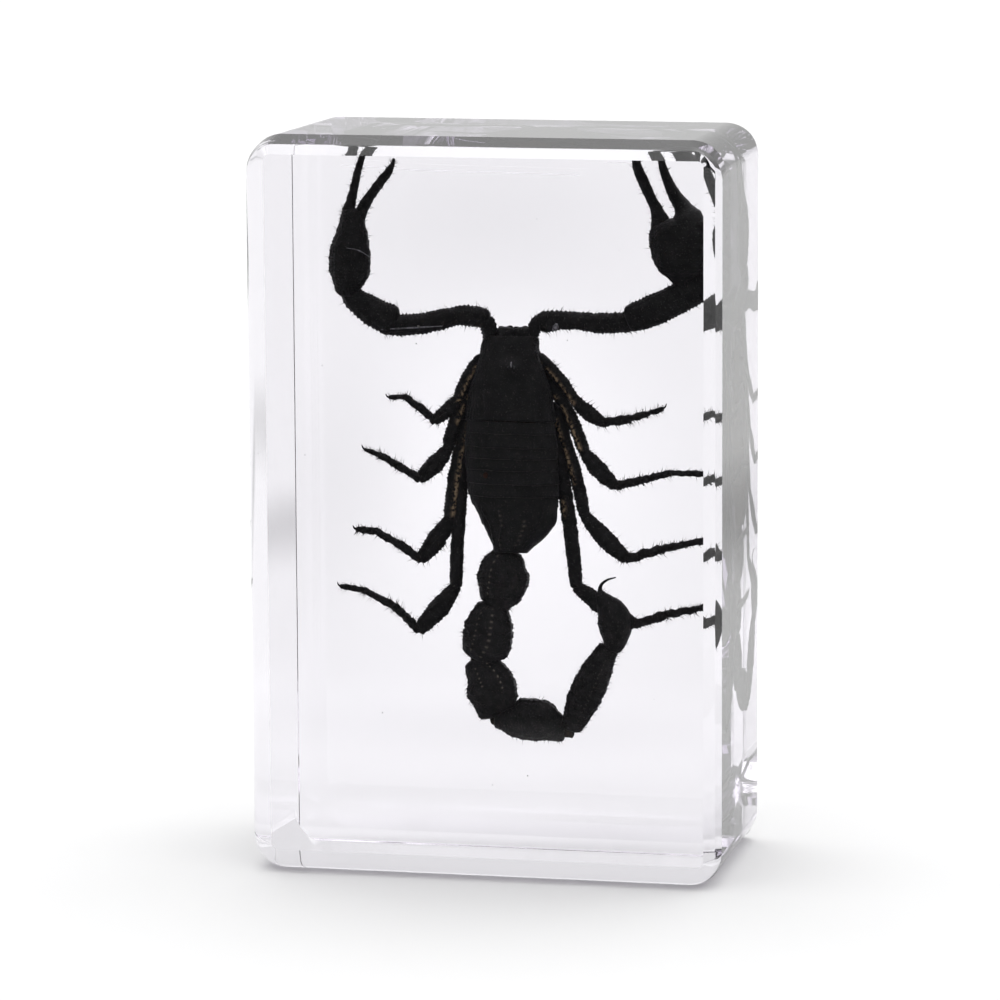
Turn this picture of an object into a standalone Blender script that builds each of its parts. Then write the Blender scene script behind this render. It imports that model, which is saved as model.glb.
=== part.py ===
"""Clear cast resin block that holds a scorpion, at its real size, in metres, with +Z up.

The block is one solid. It stands on its narrow lower side, with its broad front face towards -Y, and the
origin is the middle of the rectangle that it stands in. Each cross-section parallel to the front face is a
rectangle with rounded corners. Towards the front and back faces the sections get smaller, first over a
parabolic arc and then over a flat polished facet. The facets differ from side to side, because the rims
were ground by hand: the front's are widest at the left and bottom, and its right and top ones have a second,
steeper slope behind them. The left side leans in all the way towards the back, where its edge is nearly sharp.
"""

from dataclasses import dataclass

import bmesh
import bpy
import numpy as np

HEIGHT = 0.0750
WIDTH = 0.0486
DEPTH = 0.0254

OUTLINE_CORNER_RADIUS = 0.0034
FACE_CORNER_RADIUS = 0.0006

FRONT_INSET_LEFT = 0.0025
FRONT_INSET_BOTTOM = 0.00243
FRONT_FACET_DEPTH = 0.00107
FRONT_RIM_DEPTH = 0.0031

FRONT_INSET_RIGHT = 0.0004
FRONT_RIM_DEPTH_RIGHT = 0.00116
FRONT_SLOPE_RIGHT = 0.0011
FRONT_SLOPE_DEPTH_RIGHT = 0.0022

FRONT_INSET_TOP = 0.0008
FRONT_FACET_DEPTH_TOP = 0.00065
FRONT_RIM_DEPTH_TOP = 0.0010
FRONT_SLOPE_TOP = 0.00085
FRONT_SLOPE_DEPTH_TOP = 0.0044

BACK_INSET = 0.00123
BACK_FACET_DEPTH = 0.00088
BACK_RIM_DEPTH = 0.0024

BACK_INSET_LEFT = 0.00006
BACK_FACET_DEPTH_LEFT = 0.00002
BACK_RIM_DEPTH_LEFT = 0.00009
LEFT_SIDE_LEAN = 0.00139
LEFT_SIDE_LEAN_DEPTH = 0.0208

BACK_INSET_BOTTOM = 0.0013
BACK_FACET_DEPTH_BOTTOM = 0.00033
BACK_RIM_DEPTH_BOTTOM = 0.0005

FACET_SHARE = 0.566
FACET_SHARE_RIGHT = 0.93
FACET_SHARE_TOP = 0.88
FACET_SHARE_BACK_BOTTOM = 0.95
ARC_STEPS = 8
TIGHT_ARC_STEPS = 3
CORNER_STEPS = 10
SMALLEST_STEP = 0.00001

RESIN_COLOUR = (0.93, 0.93, 0.94, 1.0)
RESIN_IOR = 1.56
RESIN_ROUGHNESS = 0.02


@dataclass(frozen=True)
class Bevel:
    """One side of a broad face's rim: how far the face stays in from that side, how deep the flat facet and
    the whole bevel reach, and the share of the inset that the facet takes.

    The arc is a parabola that leaves the facet in its own direction and meets the side in the side's
    direction. A side with a slope is further in by that much at the face, in a straight line from
    slope_depth."""

    inset: float
    facet_depth: float
    depth: float
    facet_share: float = FACET_SHARE
    arc_steps: int = ARC_STEPS
    slope: float = 0.0
    slope_depth: float = 1.0

    def stations(self) -> np.ndarray:
        """Depths behind the face at which the bevel turns."""
        steps = np.linspace(0.0, 1.0, self.arc_steps + 1)
        turn_depth = self.facet_depth / self.facet_share
        arc = (
            self.facet_depth * (1.0 - steps) ** 2
            + 2.0 * turn_depth * steps * (1.0 - steps)
            + self.depth * steps**2
        )
        return np.append(arc, self.slope_depth) if self.slope else arc

    def inset_at(self, depth: float) -> float:
        """How far in from the side the section is at a depth: the bevel's part and the slope's."""
        return self.bevel_at(depth) + self.slope * max(0.0, 1.0 - depth / self.slope_depth)

    def bevel_at(self, depth: float) -> float:
        """The bevel's part of the inset at a depth, from the facet's line or the parabola's."""
        if depth <= self.facet_depth:
            return self.inset * (1.0 - self.facet_share * depth / self.facet_depth)
        turn_depth = self.facet_depth / self.facet_share
        square = self.facet_depth - 2.0 * turn_depth + self.depth
        slope = 2.0 * (turn_depth - self.facet_depth)
        rest = self.facet_depth - min(depth, self.depth)
        step = -2.0 * rest / (slope + np.sqrt(max(slope**2 - 4.0 * square * rest, 0.0)))
        return self.inset * (1.0 - self.facet_share) * (1.0 - step) ** 2


@dataclass(frozen=True)
class Rim:
    """The four bevels round one broad face."""

    left: Bevel
    right: Bevel
    top: Bevel
    bottom: Bevel

    def stations(self) -> list[float]:
        """Every depth behind the face at which one of the bevels turns."""
        depths = [bevel.stations() for bevel in (self.left, self.right, self.top, self.bottom)]
        found = np.sort(np.concatenate([np.zeros(1), *depths]))
        return found[np.concatenate([[True], np.diff(found) > SMALLEST_STEP])].tolist()


FRONT_RIM = Rim(
    left=Bevel(FRONT_INSET_LEFT, FRONT_FACET_DEPTH, FRONT_RIM_DEPTH),
    right=Bevel(
        FRONT_INSET_RIGHT, FRONT_FACET_DEPTH, FRONT_RIM_DEPTH_RIGHT, FACET_SHARE_RIGHT, TIGHT_ARC_STEPS,
        FRONT_SLOPE_RIGHT, FRONT_SLOPE_DEPTH_RIGHT,
    ),
    top=Bevel(
        FRONT_INSET_TOP, FRONT_FACET_DEPTH_TOP, FRONT_RIM_DEPTH_TOP, FACET_SHARE_TOP, TIGHT_ARC_STEPS,
        FRONT_SLOPE_TOP, FRONT_SLOPE_DEPTH_TOP,
    ),
    bottom=Bevel(FRONT_INSET_BOTTOM, FRONT_FACET_DEPTH, FRONT_RIM_DEPTH),
)
BACK_RIM = Rim(
    left=Bevel(
        BACK_INSET_LEFT, BACK_FACET_DEPTH_LEFT, BACK_RIM_DEPTH_LEFT, FACET_SHARE, TIGHT_ARC_STEPS,
        LEFT_SIDE_LEAN, LEFT_SIDE_LEAN_DEPTH,
    ),
    right=Bevel(BACK_INSET, BACK_FACET_DEPTH, BACK_RIM_DEPTH),
    top=Bevel(BACK_INSET, BACK_FACET_DEPTH, BACK_RIM_DEPTH),
    bottom=Bevel(
        BACK_INSET_BOTTOM, BACK_FACET_DEPTH_BOTTOM, BACK_RIM_DEPTH_BOTTOM, FACET_SHARE_BACK_BOTTOM, TIGHT_ARC_STEPS
    ),
)


def clear_scene() -> None:
    """Removes every object that the scene starts with."""
    for scene_object in list(bpy.data.objects):
        bpy.data.objects.remove(scene_object, do_unlink=True)


def section_outline(rim: Rim, depth: float, y: float) -> list[tuple[float, float, float]]:
    """Points of the rounded rectangle at one depth behind a face, whose corners' radius goes from the
    outline's to the face's as the right bevel goes from the side to the face."""
    left = -WIDTH / 2 + rim.left.inset_at(depth)
    right = WIDTH / 2 - rim.right.inset_at(depth)
    bottom = rim.bottom.inset_at(depth)
    top = HEIGHT - rim.top.inset_at(depth)
    share = rim.right.inset_at(depth) / (rim.right.inset + rim.right.slope)
    radius = OUTLINE_CORNER_RADIUS + (FACE_CORNER_RADIUS - OUTLINE_CORNER_RADIUS) * share
    corners = (
        (right - radius, top - radius),
        (left + radius, top - radius),
        (left + radius, bottom + radius),
        (right - radius, bottom + radius),
    )
    points = []
    for quarter, (centre_x, centre_z) in enumerate(corners):
        for angle in np.linspace(0.0, np.pi / 2, CORNER_STEPS + 1) + quarter * np.pi / 2:
            points.append((centre_x + radius * np.cos(angle), y, centre_z + radius * np.sin(angle)))
    return points


def block_sections() -> list[list[tuple[float, float, float]]]:
    """Every section from the front face to the back face."""
    front = [section_outline(FRONT_RIM, depth, -DEPTH / 2 + depth) for depth in FRONT_RIM.stations()]
    back = [section_outline(BACK_RIM, depth, DEPTH / 2 - depth) for depth in BACK_RIM.stations()]
    return front + back[::-1]


def resin_material() -> bpy.types.Material:
    """Water-clear casting resin with polished faces."""
    material = bpy.data.materials.new("casting_resin")
    material.use_nodes = True
    shader = material.node_tree.nodes["Principled BSDF"]
    shader.inputs["Base Color"].default_value = RESIN_COLOUR
    shader.inputs["Metallic"].default_value = 0.0
    shader.inputs["Roughness"].default_value = RESIN_ROUGHNESS
    shader.inputs["IOR"].default_value = RESIN_IOR
    shader.inputs["Transmission Weight"].default_value = 1.0
    return material


def resin_block() -> bpy.types.Object:
    """The block: its sections joined by quads, with one flat polygon as its front face and one as its back."""
    shape = bmesh.new()
    rings = [[shape.verts.new(point) for point in section] for section in block_sections()]
    count = len(rings[0])
    for ring, deeper in zip(rings, rings[1:]):
        for i in range(count):
            j = (i + 1) % count
            shape.faces.new((ring[i], ring[j], deeper[j], deeper[i]))
    shape.faces.new(rings[0])
    shape.faces.new(rings[-1])
    bmesh.ops.recalc_face_normals(shape, faces=shape.faces)
    mesh = bpy.data.meshes.new("resin_block")
    shape.to_mesh(mesh)
    shape.free()
    mesh.shade_smooth()
    mesh.set_sharp_from_angle(angle=np.radians(20.0))
    mesh.materials.append(resin_material())
    block = bpy.data.objects.new("resin_block", mesh)
    bpy.context.scene.collection.objects.link(block)
    return block


clear_scene()
resin_block()
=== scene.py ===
"""A dried scorpion cast in a clear resin block, stood on a pale studio floor.

All sizes below are millimetres. The block's middle is x = 0, y = 0, its base z = 0, and its broad front
face looks towards -Y. The scorpion lies belly to the back in one plane behind that face, so its pieces are
written as (x, z, height): x and z in that plane, and height above it, towards the front face.
"""

from __future__ import annotations

import logging
import math
from dataclasses import dataclass, field
from enum import Enum

import bpy
import numpy as np
from mathutils import Matrix, Vector


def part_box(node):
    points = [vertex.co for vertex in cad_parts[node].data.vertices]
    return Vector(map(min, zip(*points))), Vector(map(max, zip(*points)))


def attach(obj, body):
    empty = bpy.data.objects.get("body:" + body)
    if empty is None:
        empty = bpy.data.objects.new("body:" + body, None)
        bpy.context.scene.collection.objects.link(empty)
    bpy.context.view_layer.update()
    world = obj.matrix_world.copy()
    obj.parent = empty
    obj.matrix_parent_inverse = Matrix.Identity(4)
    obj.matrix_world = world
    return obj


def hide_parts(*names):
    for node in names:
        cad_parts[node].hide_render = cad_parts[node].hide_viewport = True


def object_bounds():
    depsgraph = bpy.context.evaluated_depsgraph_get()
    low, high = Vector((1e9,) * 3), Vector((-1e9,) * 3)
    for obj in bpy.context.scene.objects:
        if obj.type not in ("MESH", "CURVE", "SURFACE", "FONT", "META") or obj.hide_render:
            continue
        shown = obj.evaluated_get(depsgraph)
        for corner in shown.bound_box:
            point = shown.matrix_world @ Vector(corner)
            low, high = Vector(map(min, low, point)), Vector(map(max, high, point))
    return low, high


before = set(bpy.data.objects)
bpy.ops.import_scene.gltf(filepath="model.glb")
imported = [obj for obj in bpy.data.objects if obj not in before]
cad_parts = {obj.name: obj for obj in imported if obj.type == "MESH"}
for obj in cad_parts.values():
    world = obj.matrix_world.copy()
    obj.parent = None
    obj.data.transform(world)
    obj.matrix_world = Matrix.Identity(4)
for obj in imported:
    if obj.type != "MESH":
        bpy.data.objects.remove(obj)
cad_low, cad_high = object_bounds()

LOG = logging.getLogger("scorpion_block")
MM = 0.001
BODY = "root"
BLOCK_NODE = "resin_block"

# How deep the animal's plane lies, and how far x and z move with each millimetre of height above it.
SPECIMEN_Y = 6.6
SIGHT_SLOPE = (0.139, 0.106)
TOWARDS_FRONT = np.array([0.0, -1.0, 0.0])

# A sine hash gives each granule its place in its cell, and the radius is a share of the spacing.
HASH_WEIGHTS = np.array([12.9898, 78.233, 37.719])
HASH_TURNS = (1.0, 1.7, 2.3)
HASH_SCALE = 43758.5453
GRANULE_RADIUS = 0.42

SMOOTH = {"lumps": 0.0, "grain": 0.0}

Rows = np.ndarray
Point = tuple[float, float, float]
Stations = tuple[tuple[float, float, float, float], ...]
Material = bpy.types.Material
Tree = bpy.types.NodeTree
Socket = bpy.types.NodeSocket


class Side(Enum):
    """Which side of the animal's midline a limb is on, seen through the front face."""

    LEFT = -1
    RIGHT = 1


# ---------------------------------------------------------------- numbers and curves


def linear(code: str) -> tuple[float, float, float, float]:
    """Turns an sRGB hex colour into linear RGBA.

    Args:
        code: Six hex digits.

    Returns:
        Linear red, green and blue, and an alpha of 1.
    """
    parts = [int(code[i:i + 2], 16) / 255.0 for i in (0, 2, 4)]
    red, green, blue = (v / 12.92 if v <= 0.04045 else ((v + 0.055) / 1.055) ** 2.4 for v in parts)
    return red, green, blue, 1.0


def unit(vectors: Rows) -> Rows:
    """Scales each row to length 1."""
    return vectors / np.maximum(np.linalg.norm(vectors, axis=-1, keepdims=True), 1e-9)


def curve_through(knots: Rows, values: Rows, at: Rows, monotone: bool = False) -> Rows:
    """Cubic Hermite curve through values at knots, with each inner slope the mean of its neighbours.

    Args:
        knots: Rising positions of the values.
        values: One number or one row for each knot.
        at: Where the curve is read.
        monotone: Uses the harmonic mean of the slopes, and none at a turning point, so that a width
            never overshoots its knots.

    Returns:
        One number or row for each position in at.
    """
    knots = np.asarray(knots, float)
    rows = np.asarray(values, float)
    flat = rows.ndim == 1
    rows = rows[:, None] if flat else rows
    gaps = np.diff(knots)[:, None]
    rise = np.diff(rows, axis=0) / gaps
    inner = (rise[:-1] * gaps[1:] + rise[1:] * gaps[:-1]) / (gaps[1:] + gaps[:-1])
    slopes = np.concatenate([rise[:1], inner, rise[-1:]])
    if monotone:
        product = rise[:-1] * rise[1:]
        total = rise[:-1] + rise[1:]
        slopes[1:-1] = np.where(product > 0, 2 * product / np.where(total == 0, 1, total), 0.0)
    place = np.clip(np.searchsorted(knots, at, side="right") - 1, 0, len(knots) - 2)
    gap = gaps[place]
    t = (np.asarray(at)[:, None] - knots[place][:, None]) / gap
    result = (
        (2 * t**3 - 3 * t**2 + 1) * rows[place]
        + (t**3 - 2 * t**2 + t) * gap * slopes[place]
        + (3 * t**2 - 2 * t**3) * rows[place + 1]
        + (t**3 - t**2) * gap * slopes[place + 1]
    )
    return result[:, 0] if flat else result


def in_specimen(points: Rows) -> Rows:
    """Turns (x, z, height) rows into (x, y, z) rows.

    A point raised by its height also moves along the viewer's line of sight inside the resin, so it
    stays over the place in the plane where it was measured.

    Args:
        points: Rows of x, z and height.

    Returns:
        Rows of x, y and z.
    """
    points = np.asarray(points, float)
    x, z, height = points[..., 0], points[..., 1], points[..., 2]
    return np.stack([x + SIGHT_SLOPE[0] * height, SPECIMEN_Y - height, z + SIGHT_SLOPE[1] * height], axis=-1)


def ripple(points: Rows, size: float, seed: int) -> Rows:
    """Smooth random waves: the mean of six sines along random directions, each about size long.

    Args:
        points: Where the waves are read, as rows of x, y and z.
        size: Their usual length.
        seed: Seed of their directions and phases.

    Returns:
        One height for each point, from -1 to 1.
    """
    draw = np.random.default_rng(seed)
    directions = unit(draw.normal(size=(6, 3))) * (2 * np.pi / size) * draw.uniform(0.6, 1.4, (6, 1))
    return np.sin(points @ directions.T + draw.uniform(0, 2 * np.pi, 6)).mean(axis=-1)


def pimples(points: Rows, spacing: float, seed: int) -> Rows:
    """Round granules, one to a cell of a jittered grid. Each is a parabola over the nearest centre.

    Args:
        points: Where the granules are read, as rows of x, y and z.
        spacing: Size of a cell.
        seed: Number that changes the jitter.

    Returns:
        One height for each point: 1 at a granule's top and 0 between them.
    """
    cells = np.floor(points / spacing)
    nearest = np.full(points.shape[:-1], 9.0)
    for shift in np.ndindex(3, 3, 3):
        cell = cells + np.array(shift) - 1.0
        key = cell @ HASH_WEIGHTS + seed
        jitter = np.stack([np.sin(key * turn) * HASH_SCALE for turn in HASH_TURNS], axis=-1)
        centre = (cell + 0.25 + 0.5 * (jitter - np.floor(jitter))) * spacing
        nearest = np.minimum(nearest, np.linalg.norm(points - centre, axis=-1) / spacing)
    return np.clip(1.0 - (nearest / GRANULE_RADIUS) ** 2, 0.0, 1.0)


def bump(values: Rows, centre: float, width: float) -> Rows:
    """Bell curve: 1 at the centre and small past about twice the width."""
    return np.exp(-(((values - centre) / width) ** 2))


def window(values: Rows, start: float, end: float, fades: tuple[float, float]) -> Rows:
    """1 from start to end and 0 outside, with a straight fade of its own length inside each."""
    return np.clip((values - start) / fades[0], 0, 1) * np.clip((end - values) / fades[1], 0, 1)


def quarter_circle(share: Rows) -> Rows:
    """Rises from 0 to 1 as a quarter circle does, steep at 0 and level at 1."""
    return np.sqrt(1 - (1 - share) ** 2)


def boxy(values: Rows, squareness: float) -> Rows:
    """Raises a cosine or sine to squareness and keeps its sign: under 1 makes an ellipse boxier."""
    return np.sign(values) * np.abs(values) ** squareness


def crowded(count: int, even_share: float) -> Rows:
    """Numbers from 0 to 1 that crowd towards both ends: part even steps and part half a cosine wave.

    Args:
        count: How many.
        even_share: The part of the even steps.

    Returns:
        The rising numbers.
    """
    even = np.linspace(0.0, 1.0, count)
    return even_share * even + (1 - even_share) * (0.5 - 0.5 * np.cos(np.pi * even))


def from_angle(angles: Rows, middle: float) -> Rows:
    """Each angle's turn from the middle one, in degrees from -180 to 180."""
    return (angles - middle + 180.0) % 360.0 - 180.0


# ---------------------------------------------------------------- closed ring surfaces


def ring_angles(columns: int) -> Rows:
    """Angles of a ring's points, in radians, set half a step off the side so that they pair up."""
    return (np.arange(columns) + 0.5) * 2 * np.pi / columns


def ring_quads(rows: int, columns: int) -> Rows:
    """Quads that join each ring of a grid to the next one.

    Args:
        rows: How many rings there are.
        columns: How many points each ring has.

    Returns:
        Corner numbers, as faces by 4.
    """
    index = np.arange(rows * columns).reshape(rows, columns)
    turned = np.roll(index, -1, axis=1)
    return np.stack([index[:-1], turned[:-1], turned[1:], index[1:]], axis=-1).reshape(-1, 4)


def new_piece(
    name: str, points: Rows, faces: list, material: Material, crease: float = 0.0
) -> bpy.types.Object:
    """Puts points and faces into one mesh object, at the origin, with its place in its mesh.

    Args:
        name: Name of the object and of its mesh.
        points: Rows of x, y and z.
        faces: Corner numbers of each face.
        material: Its finish.
        crease: Angle in degrees past which an edge is shaded sharp, or 0 for flat shading.

    Returns:
        The new object.
    """
    mesh = bpy.data.meshes.new(name)
    mesh.from_pydata(points * MM, [], faces)
    if crease:
        mesh.shade_smooth()
        mesh.set_sharp_from_angle(angle=math.radians(crease))
    mesh.materials.append(material)
    piece = bpy.data.objects.new(name, mesh)
    bpy.context.scene.collection.objects.link(piece)
    LOG.info("%s: %d faces", name, len(faces))
    return piece


@dataclass(frozen=True)
class Keel:
    """A raised ridge that runs along a joint of the animal, often broken into a row of granules."""

    angle: float
    height: float = 0.1
    width: float = 9.0
    bead_spacing: float = 0.45
    beading: float = 0.6
    pale: float = 0.0
    start: float = 0.08
    end: float = 0.92
    fade: float = 0.05

    def relief(self, angles: Rows, shares: Rows, length: float) -> tuple[Rows, Rows]:
        """Height of the ridge over the surface, and how pale its granules' tops are.

        Args:
            angles: Angle round the joint for each column, in degrees.
            shares: Share of the length for each row.
            length: The joint's length.

        Returns:
            Two grids of rows by columns. The ridge is a bell curve across and a row of humps along.
        """
        around = from_angle(angles, self.angle)
        across = bump(around, 0.0, self.width)[None, :]
        reach = window(shares, self.start, self.end, (self.fade, self.fade))
        hump = 0.5 + 0.5 * np.cos(2 * np.pi * shares * length / self.bead_spacing)
        along = (reach * (1 - self.beading + self.beading * hump))[:, None]
        tops = (reach * hump**4)[:, None] * bump(around, 0.0, self.width * 0.7)[None, :]
        return self.height * across * along, self.pale * tops


@dataclass
class Shell:
    """Closed surfaces gathered into one mesh, with a share of amber and of pale bloom at each point."""

    points: list[Rows] = field(default_factory=list)
    faces: list[Rows] = field(default_factory=list)
    amber: list[Rows] = field(default_factory=list)
    pale: list[Rows] = field(default_factory=list)
    count: int = 0

    def add_rings(self, rings: Rows, amber: Rows | None = None, pale: Rows | None = None) -> None:
        """Adds one closed surface made of rings.

        Quads join each ring to the next. Each end is closed by a strip of quads that joins column j
        to its mirror column, so there is no pole and no open seam. The quads are turned round where
        the enclosed volume comes out negative, so that they face outwards.

        Args:
            rings: Rows by columns by 3, with an even number of columns.
            amber: Share of amber at each point, or None for none.
            pale: Share of pale bloom at each point, or None for none.
        """
        rows, columns = rings.shape[:2]
        j = np.arange(columns // 2 - 1)
        lid = np.stack([j, columns - 1 - j, columns - 2 - j, j + 1], axis=-1)
        quads = np.concatenate([ring_quads(rows, columns), lid, lid[:, ::-1] + (rows - 1) * columns])
        flat = rings.reshape(-1, 3)
        a, b, c, d = (flat[quads[:, k]] for k in range(4))
        volume = ((np.cross(b - a, c - a) + np.cross(c - a, d - a)) * (a - flat[0])).sum()
        if volume < 0:
            quads = quads[:, ::-1]
        self._append(flat, quads, amber, pale)

    def add_spikes(self, roots: Rows, tips: Rows, radius: Rows) -> None:
        """Adds thin closed three-sided spikes, each a triangle round its root joined to its tip.

        Args:
            roots: Where they start, as rows of x, y and z.
            tips: Where they end.
            radius: How thick each is at its root.
        """
        axis = unit(tips - roots)
        side = unit(np.cross(axis, np.array([0.31, 0.52, 0.79])))
        other = np.cross(axis, side)
        turns = np.array([0.0, 2.0, 4.0]) * np.pi / 3
        base = roots[:, None] + radius[:, None, None] * (
            side[:, None] * np.cos(turns)[None, :, None] + other[:, None] * np.sin(turns)[None, :, None]
        )
        points = np.concatenate([base, tips[:, None]], axis=1).reshape(-1, 3)
        start = 4 * np.arange(len(roots))[:, None]
        corners = np.array([[0, 1, 3, 3], [1, 2, 3, 3], [2, 0, 3, 3], [2, 1, 0, 0]])
        faces = (start[:, None] + corners[None]).reshape(-1, 4)
        self._append(points, faces, None, None)

    def _append(self, points: Rows, faces: Rows, amber: Rows | None, pale: Rows | None) -> None:
        """Stores points, faces and shares, with the faces' numbers moved past what is already there.

        Args:
            points: Rows of x, y and z.
            faces: Corner numbers by 4, with the last one repeated for a triangle.
            amber: Share of amber at each point, or None for none.
            pale: Share of pale bloom at each point, or None for none.
        """
        self.points.append(points)
        self.faces.append(faces + self.count)
        for store, shares in ((self.amber, amber), (self.pale, pale)):
            store.append(np.zeros(len(points)) if shares is None else np.asarray(shares).reshape(-1))
        self.count += len(points)

    def build(self, name: str, material: Material, crease: float = 50.0) -> bpy.types.Object:
        """Puts the surfaces into one mesh object that rides with the block.

        Args:
            name: The piece's name.
            material: Its finish.
            crease: Angle in degrees past which an edge is shaded sharp.

        Returns:
            The new object.
        """
        faces = [face if face[2] != face[3] else face[:3] for face in np.concatenate(self.faces).tolist()]
        piece = new_piece(name, np.concatenate(self.points), faces, material, crease)
        for label, shares in (("amber", self.amber), ("pale", self.pale)):
            layer = piece.data.attributes.new(label, "FLOAT", "POINT")
            layer.data.foreach_set("value", np.concatenate(shares).astype(np.float32))
        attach(piece, BODY)
        return piece


def sweep(path: Rows, half_width: Rows, half_depth: Rows, columns: int, squareness: float = 1.0,
          relief: Rows | float = 0.0) -> Rows:
    """Rings carried along a path.

    Each ring is an ellipse across the path, half_width along the specimen plane and half_depth towards
    the front, with its cosine and sine raised to squareness (under 1 makes it boxier), and pushed out
    along its own normal by relief.

    Args:
        path: Centre of each ring, in x, y, z.
        half_width: Half width of each ring.
        half_depth: Half depth of each ring.
        columns: Points in a ring, an even number. The angle starts at the ring's side and turns
            through the front, at 90 degrees.
        squareness: Power for the cosine and the sine.
        relief: Height over the plain ring, one number or a grid of rows by columns.

    Returns:
        Rows by columns by 3.
    """
    tangent = unit(np.gradient(path, axis=0))
    side = unit(np.cross(tangent, TOWARDS_FRONT))
    front = np.cross(side, tangent)
    angle = ring_angles(columns)
    cosine, sine = np.cos(angle), np.sin(angle)
    flat = side[:, None] * (half_width[:, None] * boxy(cosine, squareness))[..., None]
    deep = front[:, None] * (half_depth[:, None] * boxy(sine, squareness))[..., None]
    normal = unit(
        side[:, None] * (cosine[None] / np.maximum(half_width, 1e-4)[:, None])[..., None]
        + front[:, None] * (sine[None] / np.maximum(half_depth, 1e-4)[:, None])[..., None]
    )
    lift = np.broadcast_to(np.asarray(relief, float), normal.shape[:2])[..., None]
    return path[:, None] + flat + deep + normal * lift


@dataclass
class Joint:
    """One hollow joint of the animal: a bowed spindle with rounded ends, keels, granules and bristles.

    Each station is x, z, height and half width. The centre line is a cubic curve through the stations,
    and the width is a monotone cubic, brought to a point at both ends by a quarter circle.
    """

    stations: Stations
    flatness: float = 0.8
    squareness: float = 0.9
    keels: tuple[Keel, ...] = ()
    grain: float = 0.07
    grain_size: float = 0.34
    lumps: float = 0.04
    lump_size: float = 1.6
    rows: int = 40
    columns: int = 24
    roundness: float = 0.45
    amber_angle: float | None = None
    amber_span: tuple[float, float] = (0.0, 1.0)
    amber_width: float = 22.0
    amber_fade: float = 0.08
    bristles: int = 0
    bristle_length: float = 0.45
    seed: int = 1

    def rings(self) -> tuple[Rows, Rows, Rows]:
        """The joint's rings, and its shares of amber and of pale bloom.

        Returns:
            Rings of rows by columns by 3, and two grids of rows by columns.
        """
        table = np.asarray(self.stations, float)
        centres = in_specimen(table[:, :3])
        steps = np.linalg.norm(np.diff(centres, axis=0), axis=1)
        length = steps.sum()
        knots = np.concatenate([[0.0], np.cumsum(steps)]) / length
        shares = crowded(self.rows, 0.35)
        path = curve_through(knots, centres, shares)
        width = curve_through(knots, table[:, 3], shares, monotone=True)
        first, last = (self.roundness * table[i, 3] / length for i in (0, -1))
        to_tip = np.minimum(np.clip(shares / first, 0, 1), np.clip((1 - shares) / last, 0, 1))
        width = width * np.maximum(quarter_circle(to_tip), 0.06)
        angles = np.degrees(ring_angles(self.columns))
        relief = np.zeros((self.rows, self.columns))
        pale, amber = np.zeros_like(relief), np.zeros_like(relief)
        for keel in self.keels:
            ridge, tops = keel.relief(angles, shares, length)
            relief += ridge
            pale = np.maximum(pale, tops)
        plain = sweep(path, width, width * self.flatness, self.columns, self.squareness)
        body = np.minimum(1.0, width / table[:, 3].max())[:, None]
        lumps = self.lumps * ripple(plain, self.lump_size, self.seed)
        relief = (relief + lumps + self.grain * pimples(plain, self.grain_size, self.seed)) * body
        if self.amber_angle is not None:
            reach = window(shares, *self.amber_span, (self.amber_fade, self.amber_fade))
            amber = reach[:, None] * bump(from_angle(angles, self.amber_angle), 0.0, self.amber_width)[None]
        return sweep(path, width, width * self.flatness, self.columns, self.squareness, relief), amber, pale

    def add_to(self, shell: Shell, bristle_shell: Shell | None = None) -> None:
        """Adds the joint to a shell, and its bristles to another.

        Args:
            shell: Takes the joint.
            bristle_shell: Takes its bristles, or None for none.
        """
        rings, amber, pale = self.rings()
        shell.add_rings(rings, amber, pale)
        if bristle_shell is not None and self.bristles:
            add_bristles(bristle_shell, rings, self.bristles, self.bristle_length, self.seed)


def add_bristles(shell: Shell, rings: Rows, count: int, length: float, seed: int) -> None:
    """Adds bristles that lean towards the far end of a ring surface.

    Each root is a random point of the grid. The tip stands off along the line from the ring's centre,
    leaning forward by about half, with a random length.

    Args:
        shell: Where they go.
        rings: The surface they grow from.
        count: How many.
        length: Their mean length.
        seed: Seed of the random draws.
    """
    # The real bristles are a few hundredths of a millimetre thick, finer than a pixel, so these are
    # drawn about twice as thick.
    draw = np.random.default_rng(seed + 77)
    row = draw.integers(3, rings.shape[0] - 3, count)
    column = draw.integers(0, rings.shape[1], count)
    root = rings[row, column]
    outward = unit(root - rings[row].mean(axis=1))
    forward = unit(rings[row + 1].mean(axis=1) - rings[row - 1].mean(axis=1))
    lean = draw.uniform(0.1, 0.9, (count, 1))
    reach = length * draw.uniform(0.4, 1.3, (count, 1))
    tips = root + unit(outward + lean * forward + 0.15 * draw.normal(size=(count, 3))) * reach
    shell.add_spikes(root - outward * 0.03, tips, draw.uniform(0.02, 0.036, count))


def spindle(start: Point, end: Point, widths: Point, belly: float = 0.45, bow: float = 0.0,
            lap: float = 0.0) -> Stations:
    """Stations of a simple joint between two points.

    Args:
        start: x, z and height of its near end.
        end: x, z and height of its far end.
        widths: Half widths at the near end, the belly and the far end.
        belly: Share of the length at which it is widest.
        bow: How far the middle swings to the side, positive to the left of the way it runs.
        lap: How far each end reaches past its point, into its neighbour.

    Returns:
        Five stations.
    """
    first, last = np.array(start), np.array(end)
    reach = lap * (last - first) / np.linalg.norm(last - first)
    first, last = first - reach, last + reach
    run = last - first
    left = np.array([-run[1], run[0], 0.0]) / max(np.hypot(run[0], run[1]), 1e-6)
    shares = np.array([0.0, belly * 0.5, belly, (1 + belly) / 2, 1.0])
    centres = first + run * shares[:, None] + left * (4 * bow * shares * (1 - shares))[:, None]
    half = curve_through(np.array([0.0, belly, 1.0]), np.array(widths), shares, monotone=True)
    return tuple((*centre, width) for centre, width in zip(centres.tolist(), half.tolist()))


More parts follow.
